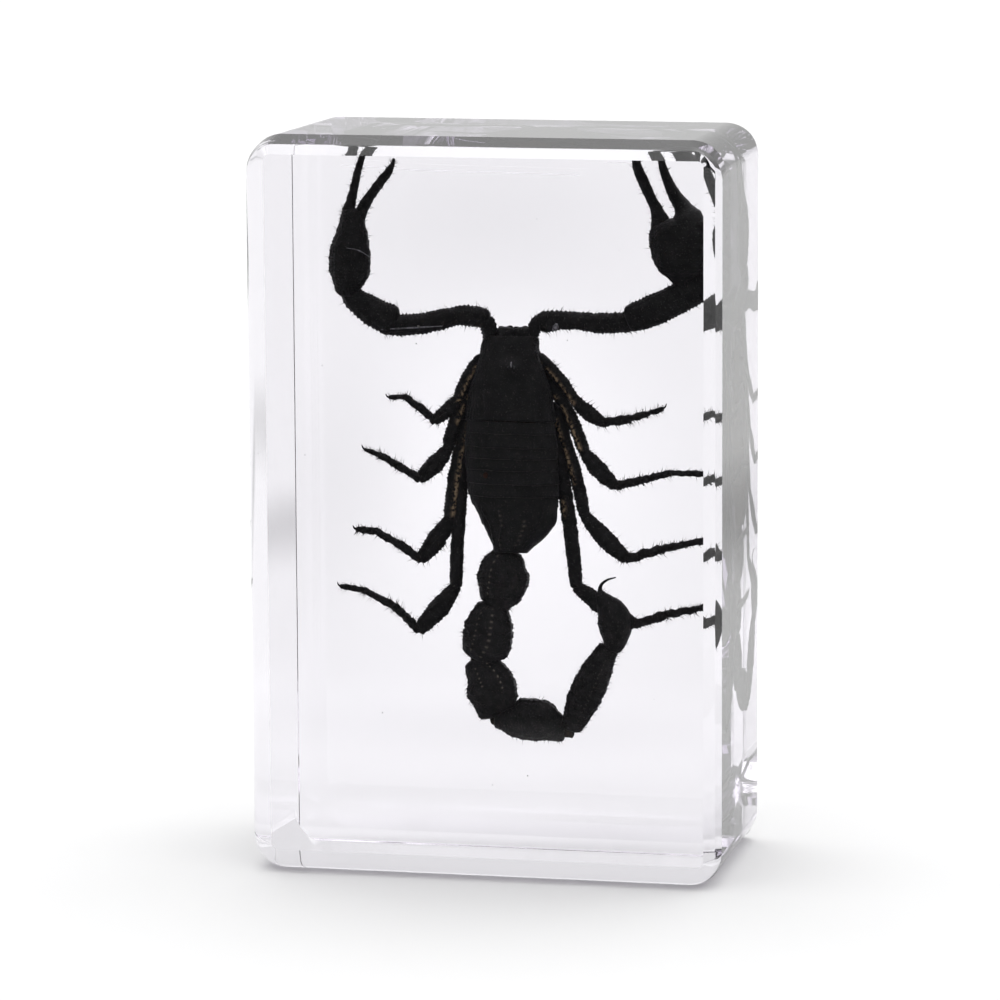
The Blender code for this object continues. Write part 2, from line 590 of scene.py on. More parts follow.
# ---------------------------------------------------------------- finishes


def add_node(tree: Tree, kind: str, inputs: dict | None = None, **settings: object) -> bpy.types.Node:
    """Adds a shader node with its settings, and sets or links its inputs.

    Args:
        tree: Node tree that takes it.
        kind: The node's type name, without the ShaderNode that all of them start with.
        inputs: Input name or number to a value, or to the socket that is linked to it.
        **settings: The node's own properties.

    Returns:
        The new node.
    """
    made = tree.nodes.new("ShaderNode" + kind)
    for name, value in settings.items():
        setattr(made, name, value)
    for key, value in (inputs or {}).items():
        if isinstance(value, Socket):
            tree.links.new(value, made.inputs[key])
        else:
            made.inputs[key].default_value = value
    return made


def blank_material(name: str) -> tuple[Material, Tree, Socket]:
    """Makes a material that has no nodes but its Object coordinates.

    Args:
        name: The material's name.

    Returns:
        The material, its node tree, and the coordinates in millimetres.
    """
    material = bpy.data.materials.new(name)
    material.use_nodes = True
    tree = material.node_tree
    tree.nodes.clear()
    coordinates = add_node(tree, "TexCoord").outputs["Object"]
    scaled = add_node(tree, "VectorMath", {0: coordinates, 1: (1 / MM, 1 / MM, 1 / MM)}, operation="MULTIPLY")
    return material, tree, scaled.outputs[0]


@dataclass(frozen=True)
class DriedCuticle:
    """Dried scorpion cuticle wetted by resin: hard chitin, black-brown, granular, with amber joint sides.

    Resin fills the pores, so the light that a dry shell would throw back as gloss is mostly gone, and the
    eye gets a deep brown-black with faint grey grain. Thin cuticle beside the joints lets the straw
    yellow below it through, in blotches. The IOR is chitin's against the resin's, not against air's.
    """

    name: str = "dried_scorpion_cuticle"
    dark: str = "131313"
    worn: str = "212120"
    amber: str = "7a644a"
    straw: str = "b8a280"
    bloom: str = "b2a999"
    fleck: str = "545350"
    roughness: float = 0.42
    relative_ior: float = 1.25
    mottle_size: float = 0.9
    blotch_size: float = 0.32
    fleck_size: float = 0.16
    grain_size: float = 0.11
    bump_height: float = 0.05

    def material(self) -> Material:
        """Builds the material from noise and granules on Object coordinates and the two shares.

        Returns:
            The material.
        """
        material, tree, place = blank_material(self.name)
        mottle, blotch, dust = (
            add_node(tree, "TexNoise", {"Vector": place, "Scale": 1 / size, "Detail": detail}).outputs[0]
            for size, detail in ((self.mottle_size, 5.0), (self.blotch_size, 3.0), (self.fleck_size, 2.0))
        )
        wear, patch, flecks = (
            add_node(
                tree, "MapRange", {0: noise, "From Min": low, "From Max": high, "To Max": most}
            ).outputs[0]
            for noise, low, high, most in (
                (mottle, 0.42, 0.72, 1.0), (blotch, 0.38, 0.56, 1.0), (dust, 0.6, 0.74, 0.5),
            )
        )
        amber, pale = (
            add_node(tree, "Attribute", attribute_name=name).outputs["Fac"] for name in ("amber", "pale")
        )
        gate = add_node(tree, "Math", {0: amber, 1: patch}, operation="MULTIPLY").outputs[0]
        shades = {0: patch, 6: linear(self.amber), 7: linear(self.straw)}
        yellow = add_node(tree, "Mix", shades, data_type="RGBA").outputs[2]
        colour = linear(self.dark)
        layers = (
            (wear, linear(self.worn)), (gate, yellow), (flecks, linear(self.fleck)),
            (pale, linear(self.bloom)),
        )
        for share, over in layers:
            colour = add_node(tree, "Mix", {0: share, 6: colour, 7: over}, data_type="RGBA").outputs[2]
        sheen = add_node(
            tree, "MapRange", {0: mottle, "To Min": self.roughness - 0.12, "To Max": self.roughness + 0.16}
        )
        granules = add_node(tree, "TexVoronoi", {"Vector": place, "Scale": 1 / self.grain_size})
        grain = granules.outputs["Distance"]
        relief = add_node(
            tree, "Bump", {"Height": grain, "Distance": self.bump_height * MM, "Strength": 0.7}, invert=True
        )
        shader = add_node(tree, "BsdfPrincipled", {
            "Base Color": colour, "Roughness": sheen.outputs[0], "IOR": self.relative_ior,
            "Normal": relief.outputs[0],
        })
        add_node(tree, "OutputMaterial", {"Surface": shader.outputs[0]})
        return material


@dataclass(frozen=True)
class PlainTissue:
    """Soft or simple parts of the animal: a noise between two colours with a fine bump."""

    name: str
    low: str
    high: str
    roughness: float = 0.6
    relative_ior: float = 1.2
    pattern_size: float = 0.4
    bump_height: float = 0.02
    # Emission in the high colour, which is painted light: the air film's reflection and the highlight lines.
    glow: float = 0.0

    def material(self) -> Material:
        """Builds the material from one noise on Object coordinates.

        Returns:
            The material.
        """
        material, tree, place = blank_material(self.name)
        scale = {"Vector": place, "Scale": 1 / self.pattern_size, "Detail": 4.0}
        noise = add_node(tree, "TexNoise", scale).outputs[0]
        share, gloss = (
            add_node(tree, "MapRange", {0: noise, **span}).outputs[0]
            for span in (
                {"From Min": 0.35, "From Max": 0.65},
                {"To Min": self.roughness - 0.1, "To Max": self.roughness + 0.1},
            )
        )
        shades = {0: share, 6: linear(self.low), 7: linear(self.high)}
        colour = add_node(tree, "Mix", shades, data_type="RGBA")
        relief = add_node(tree, "Bump", {"Height": noise, "Distance": self.bump_height * MM, "Strength": 0.6})
        shader = add_node(tree, "BsdfPrincipled", {
            "Base Color": colour.outputs[2], "Roughness": gloss, "IOR": self.relative_ior,
            "Normal": relief.outputs[0], "Emission Color": linear(self.high), "Emission Strength": self.glow,
        })
        add_node(tree, "OutputMaterial", {"Surface": shader.outputs[0]})
        return material


@dataclass(frozen=True)
class CastResin:
    """Water-clear polyester casting resin, sawn and then buffed on a wheel.

    Buffing leaves faces that are clear but not quite flat, so straight lines seen through the rims
    wander a little. A faint absorption greys what is seen through the full depth.
    """

    name: str = "water_clear_casting_resin_buffed"
    tint: str = "f9f9fa"
    ior: float = 1.56
    roughness: float = 0.0
    swell_size: float = 9.0
    swell_height: float = 0.012
    absorption_tint: str = "f5f3f7"
    absorption_per_metre: float = 36.0

    def material(self) -> Material:
        """Builds a plain transmitting surface over a plain absorbing volume.

        Returns:
            The material.
        """
        material, tree, place = blank_material(self.name)
        swell = add_node(tree, "TexNoise", {"Vector": place, "Scale": 1 / self.swell_size, "Detail": 1.0})
        relief = add_node(
            tree, "Bump", {"Height": swell.outputs[0], "Distance": self.swell_height * MM, "Strength": 1.0}
        )
        shader = add_node(tree, "BsdfPrincipled", {
            "Base Color": linear(self.tint), "Roughness": self.roughness, "IOR": self.ior,
            "Transmission Weight": 1.0, "Normal": relief.outputs[0],
        })
        volume = add_node(tree, "VolumeAbsorption", {
            "Color": linear(self.absorption_tint), "Density": self.absorption_per_metre,
        })
        add_node(tree, "OutputMaterial", {"Surface": shader.outputs[0], "Volume": volume.outputs[0]})
        return material


# Shrunken skin between the plates: dull, dark brown, creased.
MEMBRANE = PlainTissue("dried_joint_membrane", "1a1512", "3a3027", roughness=0.7, pattern_size=0.5)
# The underside's plates are thinner than the back's, so they look browner and smoother.
VENTRAL = PlainTissue("dried_belly_plate", "1e1814", "40362b", roughness=0.5, pattern_size=0.9)
# Bristles are solid horn, dark with a little gloss along them.
BRISTLE = PlainTissue("horny_bristle", "1c1714", "3a2e24", roughness=0.4, pattern_size=0.2, bump_height=0.0)
# An eye is a clear dome over black, and is the one glossy spot on the animal.
LENS = PlainTissue("eye_lens", "0a0a0c", "121216", roughness=0.1, relative_ior=1.6, pattern_size=0.3)
# Body fluid that dried on the back before casting: a dull red-brown film.
STAIN = PlainTissue("rust_brown_stain", "1e1410", "452a20", roughness=0.6, pattern_size=0.3)
# Painted reflection: a film of air only shows by the lamp light that it mirrors, so this is pale grey and
# glows a little in its place, as the painted highlight lines do.
AIR_FILM_PAINTED_GLOW = PlainTissue(
    "air_film_painted_reflection", "3a3a3c", "8c8c90", roughness=0.5, relative_ior=1.45, pattern_size=0.25, glow=0.06
)
# Painted highlight: a hair-thin pale line in the resin that glows, in place of the bright lines that the top
# rims show.
GLOWING_HIGHLIGHT_LINE = PlainTissue(
    "painted_highlight_line", "d2d2d8", "fafafc", roughness=0.5, relative_ior=1.3, pattern_size=1.5, glow=0.8
)
# House dust that the resin caught: matt pale grey fibres and grains.
LINT = PlainTissue("dust_and_lint", "60605e", "a8a6a0", roughness=0.9, pattern_size=0.1)


# ---------------------------------------------------------------- the resin block


@dataclass(frozen=True)
class Bevel:
    """One side of a broad face's rim: a flat facet from the face outwards, then an arc to the side.

    The face stays in from the side by inset. The facet takes facet_share of that inset over
    facet_depth. The arc is a parabola that leaves the facet in its own direction and meets the side
    at depth. A side with draft slopes in by that much more at the face, in a straight line from
    draft_depth.
    """

    inset: float
    facet_depth: float
    depth: float
    facet_share: float = 0.566
    draft: float = 0.0
    draft_depth: float = 20.8

    def stations(self, arc_steps: int) -> Rows:
        """Depths behind the face at which the bevel turns, with the arc in equal steps of its parameter.

        Args:
            arc_steps: How many steps the arc has.

        Returns:
            The depths.
        """
        s = np.linspace(0.0, 1.0, arc_steps + 1)
        turn = self.facet_depth / self.facet_share
        return self.facet_depth * (1 - s) ** 2 + 2 * turn * s * (1 - s) + self.depth * s**2

    def inset_at(self, depths: Rows) -> Rows:
        """How far the bevel is in from the side at each depth, by solving the parabola for its parameter.

        Args:
            depths: Depths behind the face.

        Returns:
            One inset for each depth.
        """
        turn = self.facet_depth / self.facet_share
        a = self.facet_depth - 2 * turn + self.depth
        b = 2 * (turn - self.facet_depth)
        c = self.facet_depth - np.clip(depths, self.facet_depth, self.depth)
        s = 2 * -c / (b + np.sqrt(np.maximum(b * b - 4 * a * c, 0.0)))
        arc = (1 - self.facet_share) * (1 - s) ** 2
        bevel = np.where(depths < self.facet_depth, 1 - self.facet_share * depths / self.facet_depth, arc)
        return self.inset * bevel + self.draft * np.clip(1 - depths / self.draft_depth, 0.0, 1.0)


@dataclass(frozen=True)
class Rim:
    """The four bevels round one broad face."""

    left: Bevel
    right: Bevel
    top: Bevel
    bottom: Bevel

    def sides(self) -> tuple[Bevel, Bevel, Bevel, Bevel]:
        """The bevels in the order left, right, top and bottom."""
        return self.left, self.right, self.top, self.bottom

    def depths(self, arc_steps: int, margin: float) -> Rows:
        """Every depth that a ring is needed at, and one a margin inside each end of the facets.

        Args:
            arc_steps: Steps in each arc.
            margin: Distance of the spare rings, which keep the flat faces' shading flat.

        Returns:
            Rising depths behind the face.
        """
        turns = np.concatenate([side.stations(arc_steps) for side in self.sides()])
        spare = [side.facet_depth - margin for side in self.sides()]
        spare.append(max(side.depth for side in self.sides()) + margin)
        spare += [
            side.draft_depth + step for side in self.sides() if side.draft for step in (-margin, 0, margin)
        ]
        found = np.unique(np.round(np.maximum(np.concatenate([[0.0, margin], turns, spare]), 0.0), 4))
        return found[np.concatenate([[True], np.diff(found) > 0.004])]


@dataclass
class ResinBlock:
    """The block, at the CAD solid's size, with finer arcs and straight margins that keep its faces flat.

    The hand-ground bevels differ: wide at the front's left and bottom, and with a second, steeper
    slope behind the front's right and top ones. The left wall leans in all the way to the back.
    """

    front: Rim = Rim(
        left=Bevel(2.5, 1.07, 3.1),
        right=Bevel(0.4, 1.07, 1.16, 0.93, draft=1.1, draft_depth=2.2),
        top=Bevel(0.8, 0.65, 1.0, 0.88, draft=0.85, draft_depth=4.4),
        bottom=Bevel(2.43, 1.07, 3.1),
    )
    back: Rim = Rim(
        left=Bevel(0.06, 0.02, 0.09, draft=1.39),
        right=Bevel(1.23, 0.88, 2.4),
        top=Bevel(1.23, 0.88, 2.4),
        bottom=Bevel(1.3, 0.33, 0.5, 0.95),
    )
    outline_radius: float = 3.4
    face_radius: float = 0.6
    margin: float = 0.06
    arc_steps: int = 20
    corner_steps: int = 24
    crease: float = 20.0

    def __post_init__(self) -> None:
        """Reads the block's width, depth and height from its CAD node."""
        low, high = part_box(BLOCK_NODE)
        self.width, self.depth, self.height = ((high[i] - low[i]) / MM for i in range(3))

    def outline(self, rim: Rim, depths: Rows, y: Rows, inset: float = 0.0) -> Rows:
        """Rounded rectangles, one for each depth.

        Each corner is a quarter circle with one more point a margin past each of its ends. Its radius
        goes from the outline's to the face's as the right bevel goes from the side to the face.

        Args:
            rim: The face's bevels.
            depths: Depths behind the face.
            y: Place of each outline along y.
            inset: How much further in than the bevels they lie.

        Returns:
            Rows by columns by 3.
        """
        left, right, top, bottom = (side.inset_at(depths)[:, None] for side in rim.sides())
        full = rim.right.inset + rim.right.draft
        radius = self.outline_radius + (self.face_radius - self.outline_radius) * right / full
        edge_x = {1: self.width / 2 - right - inset, -1: -self.width / 2 + left + inset}
        edge_z = {1: self.height - top - inset, -1: bottom + inset}
        turn = np.linspace(0.0, np.pi / 2, self.corner_steps + 1)
        xs, zs = [], []
        for quarter, (sign_x, sign_z) in enumerate(((1, 1), (-1, 1), (-1, -1), (1, -1))):
            angle = turn + quarter * np.pi / 2
            x = edge_x[sign_x] - sign_x * radius + radius * np.cos(angle)
            z = edge_z[sign_z] - sign_z * radius + radius * np.sin(angle)
            before = self.margin * np.array([np.sin(angle[0]), -np.cos(angle[0])])
            after = self.margin * np.array([-np.sin(angle[-1]), np.cos(angle[-1])])
            xs += [x[:, :1] + before[0], x, x[:, -1:] + after[0]]
            zs += [z[:, :1] + before[1], z, z[:, -1:] + after[1]]
        x, z = np.concatenate(xs, axis=1), np.concatenate(zs, axis=1)
        return np.stack([x, np.broadcast_to(y[:, None], x.shape), z], axis=-1)

    def build(self) -> bpy.types.Object:
        """Builds the block's mesh, which stands for the CAD solid.

        Returns:
            The new object.
        """
        rings = []
        for rim, sign in ((self.front, -1.0), (self.back, 1.0)):
            depths = rim.depths(self.arc_steps, self.margin)
            walls = self.outline(rim, depths, sign * (self.depth / 2 - depths))
            flat = self.outline(rim, np.zeros(1), np.full(1, sign * self.depth / 2), inset=self.margin)
            rows = np.concatenate([flat, walls])
            rings.append(rows if sign < 0 else rows[::-1])
        grid = np.concatenate(rings)
        rows, columns = grid.shape[:2]
        ends = [list(range(columns)), list(range(rows * columns - 1, (rows - 1) * columns - 1, -1))]
        faces = ring_quads(rows, columns)[:, [0, 3, 2, 1]].tolist() + ends
        block = new_piece("clear_block", grid.reshape(-1, 3), faces, CastResin().material(), self.crease)
        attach(block, BODY)
        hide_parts(BLOCK_NODE)
        return block


# ---------------------------------------------------------------- the trunk


@dataclass
class TrunkForm:
    """The body's outline: for each z the middle, the half width, and the height to the back and belly."""

    z: tuple[float, ...] = (
        54.1, 53.2, 52.0, 50.5, 48.0, 45.2, 42.0, 39.0, 37.4, 36.0, 35.0, 34.2, 33.2, 32.2, 31.4,
    )
    middle: tuple[float, ...] = (
        0.9, 0.7, 0.6, 0.65, 0.7, 0.7, 0.75, 0.9, 1.0, 1.27, 1.45, 1.42, 1.22, 0.85, 0.45,
    )
    half_width: tuple[float, ...] = (
        2.45, 2.75, 2.85, 3.3, 4.1, 4.5, 4.75, 4.72, 4.55, 4.15, 3.83, 3.38, 2.7, 1.85, 1.45,
    )
    back: tuple[float, ...] = (
        0.9, 1.25, 1.5, 1.8, 2.1, 2.25, 2.35, 2.35, 2.3, 2.2, 2.1, 1.95, 1.7, 1.4, 1.1,
    )
    belly: tuple[float, ...] = (
        0.9, 1.3, 1.5, 1.75, 2.0, 2.2, 2.3, 2.3, 2.2, 2.1, 2.0, 1.85, 1.6, 1.3, 1.0,
    )
    squareness: float = 0.72

    def read(self, name: str, z: Rows) -> Rows:
        """Reads one of the outline's curves.

        Args:
            name: The field's name.
            z: Where it is read.

        Returns:
            One number for each z.
        """
        knots = np.array(self.z[::-1])
        return curve_through(knots, np.array(getattr(self, name)[::-1]), z, monotone=True)

    def surface(self, z: Rows, angles: Rows, grow: Rows | float) -> Rows:
        """Points of the body's skin.

        x is the middle plus half width times cosine to the squareness, and the height is the back's or
        the belly's height times sine to the squareness, both grown by the same amount.

        Args:
            z: One value a row.
            angles: Radians, one a column, with 0 to the right and half pi on the back.
            grow: Distance off the skin, one number or a grid.

        Returns:
            Rows by columns by 3, in x, y, z.
        """
        middle, half_width, back, belly = (
            self.read(name, z)[:, None] for name in ("middle", "half_width", "back", "belly")
        )
        grow = np.broadcast_to(np.asarray(grow, float), (len(z), len(angles)))
        x = middle + (half_width + grow) * boxy(np.cos(angles), self.squareness)
        depth = np.where(angles[None] % (2 * np.pi) < np.pi, back, belly)
        height = (depth + grow) * boxy(np.sin(angles), self.squareness)
        return in_specimen(np.stack([x, np.broadcast_to(z[:, None], x.shape), height], axis=-1))


@dataclass
class Plate:
    """A hard plate that wraps part of the trunk: a curved sheet with rounded rims, closed all round."""

    name: str
    z_front: float
    z_rear: float
    angle: float = 90.0
    reach: float = 84.0
    thickness: float = 0.28
    lift_front: float = 0.05
    lift_rear: float = 0.16
    rows: int = 40
    columns: int = 96
    sag: float = 0.0
    ridge: float = 0.06
    rim: float = 0.03
    grain: float = 0.055
    grain_size: float = 0.28
    wave: float = 0.06
    wave_size: float = 1.4
    seed: int = 1

    def relief(self, z: Rows, angles: Rows, skin: Rows) -> tuple[Rows, Rows]:
        """Height over the plate and its share of pale bloom.

        A plain plate has a raised rear rim, granules towards the rear, and a low ridge along the middle.

        Args:
            z: One value a row.
            angles: Radians, one a column.
            skin: The plate's middle sheet, as rows by columns by 3.

        Returns:
            Two grids of rows by columns.
        """
        share = (self.z_front - z[:, None]) / (self.z_front - self.z_rear)
        ridge = self.ridge * bump(np.degrees(angles)[None], self.angle, 4.0) * np.clip(share * 3, 0, 1)
        rim = self.rim * bump(share, 0.93, 0.05) * (0.5 + ripple(skin, 1.3, self.seed + 9))
        grains = self.grain * pimples(skin, self.grain_size, self.seed) * np.clip(share * 1.6, 0.15, 1)
        waves = self.wave * ripple(skin, self.wave_size, self.seed)
        return ridge + rim + grains + waves, np.zeros_like(grains)

    def build(self, form: TrunkForm, material: Material) -> None:
        """Builds the plate: an outer sheet and, a thickness below it, an inner one, joined at the rims.

        Each row runs over the outer sheet and back under the inner one, and both the rows' and the
        columns' ends are brought together by a quarter circle. The middle of each row sags towards
        the tail by the cosine of the angle, and wavers a little.

        Args:
            form: The trunk's outline.
            material: The plate's finish.
        """
        share = crowded(self.rows, 0.4)
        z = self.z_front + (self.z_rear - self.z_front) * share
        spread = np.linspace(-1.0, 1.0, self.columns)
        spread = np.sin(spread * np.pi / 2) * 0.35 + spread * 0.65
        angles = np.radians(self.angle + self.reach * spread)
        lift = (self.lift_front + (self.lift_rear - self.lift_front) * share)[:, None]
        ends = np.minimum(share, 1 - share) * abs(self.z_front - self.z_rear) / (0.5 * self.thickness)
        row_cap = quarter_circle(np.clip(ends, 0.02, 1))[:, None]
        column_cap = quarter_circle(np.clip((1 - np.abs(spread)) / 0.03, 0.02, 1))[None]
        half = 0.5 * self.thickness * row_cap * column_cap
        skin = form.surface(z, angles, lift)
        relief, pale = self.relief(z, angles, skin)
        outer = form.surface(z, angles, lift + half + relief * row_cap * column_cap)
        inner = form.surface(z, angles, lift - half)
        fall = self.sag * np.cos(np.radians(self.reach) * spread)
        fall = fall + 0.3 * self.sag * ripple(skin, 2.4, self.seed + 5)
        for sheet in (outer, inner):
            sheet[..., 2] -= fall
        shell = Shell()
        rings = np.concatenate([outer, inner[:, ::-1]], axis=1)
        shell.add_rings(rings, None, np.concatenate([pale, 0 * pale], axis=1))
        shell.build(self.name, material)


@dataclass
class Carapace(Plate):
    """The shield over the head and legs, with its middle furrow, side furrows and the eye mound."""

    name: str = "carapace"
    z_front: float = 54.0
    z_rear: float = 45.25
    reach: float = 92.0
    thickness: float = 0.3
    rows: int = 110
    columns: int = 130
    lift_rear: float = 0.05
    eye_z: float = 50.7
    furrow: float = 0.16
    side_furrow: float = 0.14
    mound: float = 0.42
    seed: int = 3

    def relief(self, z: Rows, angles: Rows, skin: Rows) -> tuple[Rows, Rows]:
        """Height over the shield, with grains that get coarser towards the sides.

        The furrows, the mound, the front notch and the rims are bell curves of the angle and of z.

        Args:
            z: One value a row.
            angles: Radians, one a column.
            skin: The plate's middle sheet, as rows by columns by 3.

        Returns:
            Two grids of rows by columns.
        """
        degrees = np.degrees(angles)[None] - self.angle
        rows = z[:, None]
        share = (self.z_front - rows) / (self.z_front - self.z_rear)
        furrow = -self.furrow * bump(degrees, 0.0, 4.0) * window(rows, 46.0, 53.6, (1.5, 1.0))
        mound = self.mound * bump(degrees, 0.0, 13.0) * bump(rows, self.eye_z, 0.75)
        swing = 26.0 * (1 - share) + 30.0
        sides = -self.side_furrow * bump(degrees, swing, 5.0) - self.side_furrow * bump(degrees, -swing, 5.0)
        sides = sides * np.clip((49.5 - rows) / 1.5, 0, 1)
        notch = -0.1 * bump(degrees, 0.0, 9.0) * bump(share, 0.0, 0.08)
        rim = 0.02 * bump(share, 0.97, 0.02) + 0.05 * bump(np.abs(degrees), 86.0, 4.0)
        coarse = np.clip(np.abs(degrees) / 60.0, 0.15, 1.0)
        grains = 0.08 * coarse * pimples(skin, 0.3, self.seed) + 0.03 * pimples(skin, 0.17, self.seed + 1)
        waves = 0.05 * ripple(skin, 3.0, self.seed) + 0.04 * ripple(skin, 1.1, self.seed + 2)
        return furrow + mound + sides + notch + rim + grains + waves, np.zeros_like(grains)


@dataclass
class LastTergite(Plate):
    """The tapered last back plate, with two pairs of granular keels that close in towards the tail."""

    bead_spacing: float = 0.5
    keel: float = 0.16
    bloom: float = 0.24

    def relief(self, z: Rows, angles: Rows, skin: Rows) -> tuple[Rows, Rows]:
        """Height over the plate: a plain one's, and keels at set distances from the midline, by z.

        Args:
            z: One value a row.
            angles: Radians, one a column.
            skin: The plate's middle sheet, as rows by columns by 3.

        Returns:
            Two grids of rows by columns.
        """
        plain, _ = super().relief(z, angles, skin)
        across = np.abs(skin[..., 0] - np.interp(z, (31.8, 34.5, 37.8), (0.4, 1.2, 1.0))[:, None])
        rows = z[:, None]
        humps = 0.5 + 0.5 * np.cos(2 * np.pi * rows / self.bead_spacing)
        inner = bump(across, np.interp(z, (31.8, 33.0, 36.8), (0.45, 0.95, 1.35))[:, None], 0.13)
        outer = bump(across, np.interp(z, (31.8, 33.6, 36.0), (1.1, 1.9, 3.0))[:, None], 0.14)
        reach = window(rows, 31.9, 36.9, (0.4, 0.6))
        keels = (inner + outer) * reach * (0.5 + 0.5 * humps)
        patchy = np.clip(0.5 + 1.2 * ripple(skin, 1.5, self.seed + 4), 0, 1)
        return plain + self.keel * keels, np.clip(self.bloom * inner * patchy * reach * humps**2, 0, 1)


@dataclass
class Trunk:
    """Head shield, back plates, belly plates, the soft skin between them, and what sits on the belly."""

    form: TrunkForm = field(default_factory=TrunkForm)
    core_ends: tuple[float, float] = (53.7, 31.4)
    pleat_spacing: float = 0.36
    tergite_edges: tuple[float, ...] = (45.2, 44.3, 42.85, 41.7, 40.5, 39.1, 37.8, 31.8)
    sternite_edges: tuple[float, ...] = (42.6, 40.7, 38.6, 36.6, 34.6, 31.9)
    mouth_x: tuple[float, float] = (0.3, 1.86)
    comb_teeth: int = 15
    stains: tuple[Point, ...] = ((-1.95, 39.6, 0.24), (3.2, 39.1, 0.2))
    leg_folds: tuple[tuple[float, float], ...] = ((4.3, 50.4), (5.3, 44.1), (-5.0, 43.4))

    def build(self, shell_finish: Material) -> None:
        """Builds every piece of the trunk.

        Args:
            shell_finish: The cuticle's finish.
        """
        self.build_core()
        Carapace().build(self.form, shell_finish)
        edges = self.tergite_edges
        last = len(edges) - 1
        for number, (front, rear) in enumerate(zip(edges, edges[1:]), start=1):
            kind, rows, sag = (LastTergite, 90, 0.0) if number == last else (Plate, 30, 0.3)
            kind(
                f"tergite_{number}", front + 0.25, rear - 0.12, reach=80.0, rows=rows, columns=120,
                lift_front=0.0, lift_rear=0.12, thickness=0.18, sag=sag, seed=10 + number,
            ).build(self.form, shell_finish)
        belly = VENTRAL.material()
        self.build_belly_plates(belly)
        self.build_leg_folds()
        self.build_breastbone(belly)
        self.build_combs(belly)
        self.build_chelicerae(shell_finish)
        self.build_eyes()

    def build_core(self) -> None:
        """The soft skin: the body's skin a little below the plates, pleated along the sides by a sine of
        z, with its ends rounded by a quarter circle."""
        top, bottom = self.core_ends
        z = np.linspace(top, bottom, 120)
        angles = ring_angles(72)
        cap = quarter_circle(np.clip(np.minimum(top - z, z - bottom) / 1.2, 0.01, 1))
        pleats = 0.05 * np.sin(2 * np.pi * z / self.pleat_spacing)[:, None]
        pleats = pleats * np.abs(np.cos(angles))[None] ** 3
        full = self.form.surface(z, angles, -0.16 + pleats)
        centre = full.mean(axis=1, keepdims=True)
        core = Shell()
        core.add_rings(centre + (full - centre) * cap[:, None, None])
        core.build("trunk_membrane", MEMBRANE.material())

    def build_belly_plates(self, belly: Material) -> None:
        """Builds the belly plates, each but the last with a breathing slit near both ends of its rear edge.

        Args:
            belly: The belly plates' finish.
        """
        edges = self.sternite_edges
        slits = Shell()
        for number, (front, rear) in enumerate(zip(edges, edges[1:]), start=3):
            Plate(
                f"sternite_{number}", front + 0.2, rear - 0.1, angle=270.0, reach=76.0, rows=34, columns=100,
                lift_front=0.0, lift_rear=0.16, thickness=0.2, grain=0.012, seed=30 + number,
            ).build(self.form, belly)
            if rear == edges[-1]:
                continue
            for side in Side:
                x = self.form.read("middle", np.array([rear]))[0] + side.value * 2.5
                z = (front + rear) / 2
                lean = 0.1 * side.value
                slit = spindle((x - 0.45, z + lean, -2.4), (x + 0.45, z - lean, -2.4), (0.05, 0.13, 0.05))
                Joint(slit, flatness=1.0, rows=16, columns=10, **SMOOTH).add_to(slits)
        slits.build("breathing_slits", LINT.material())

    def build_leg_folds(self) -> None:
        """Folds of soft skin that fill the gaps between the leg bases and the shield."""
        folds = Shell()
        for x, z in self.leg_folds:
            fold = spindle((x - 0.1, z + 0.8, -1.2), (x + 0.1, z - 0.8, -1.2), (0.35, 0.5, 0.35))
            Joint(fold, flatness=0.8, rows=24, columns=20).add_to(folds)
        folds.build("leg_base_skin", MEMBRANE.material())

    def build_breastbone(self, belly: Material) -> None:
        """Builds the two small plates between the leg bases.

        Args:
            belly: The belly plates' finish.
        """
        base = Shell()
        front_plate = ((0.8, 47.6, -2.1, 0.35), (0.8, 46.6, -2.25, 0.75), (0.8, 45.4, -2.2, 0.7))
        rear_plate = ((0.8, 45.3, -2.1, 0.6), (0.8, 44.6, -2.3, 0.9), (0.8, 43.9, -2.2, 0.6))
        Joint(front_plate, flatness=0.4, squareness=0.6).add_to(base)
        Joint(rear_plate, flatness=0.35).add_to(base)
        base.build("breastbone", belly)

    def build_combs(self, belly: Material) -> None:
        """Builds both combs: a bowed stem to each side of the breastbone, with a row of teeth along it.

        Args:
            belly: The belly plates' finish.
        """
        combs = Shell()
        for side in Side:
            root = (0.8 + 0.5 * side.value, 43.9, -2.3)
            tip = (0.8 + 4.2 * side.value, 41.4, -2.2)
            stem = spindle(root, tip, (0.3, 0.34, 0.16), bow=-0.35 * side.value)
            Joint(stem, flatness=0.5, rows=30, columns=14).add_to(combs)
            for share in np.linspace(0.08, 0.97, self.comb_teeth):
                x = root[0] + (tip[0] - root[0]) * share
                z = root[1] + (tip[1] - root[1]) * share - 0.1
                end = (x + 0.22 * side.value, z - 0.85 * (1.1 - 0.4 * share), -2.45)
                tooth = spindle((x, z, -2.3), end, (0.08, 0.12, 0.07))
                Joint(tooth, flatness=0.6, rows=10, columns=8, **SMOOTH).add_to(combs)
        combs.build("pectines", belly)

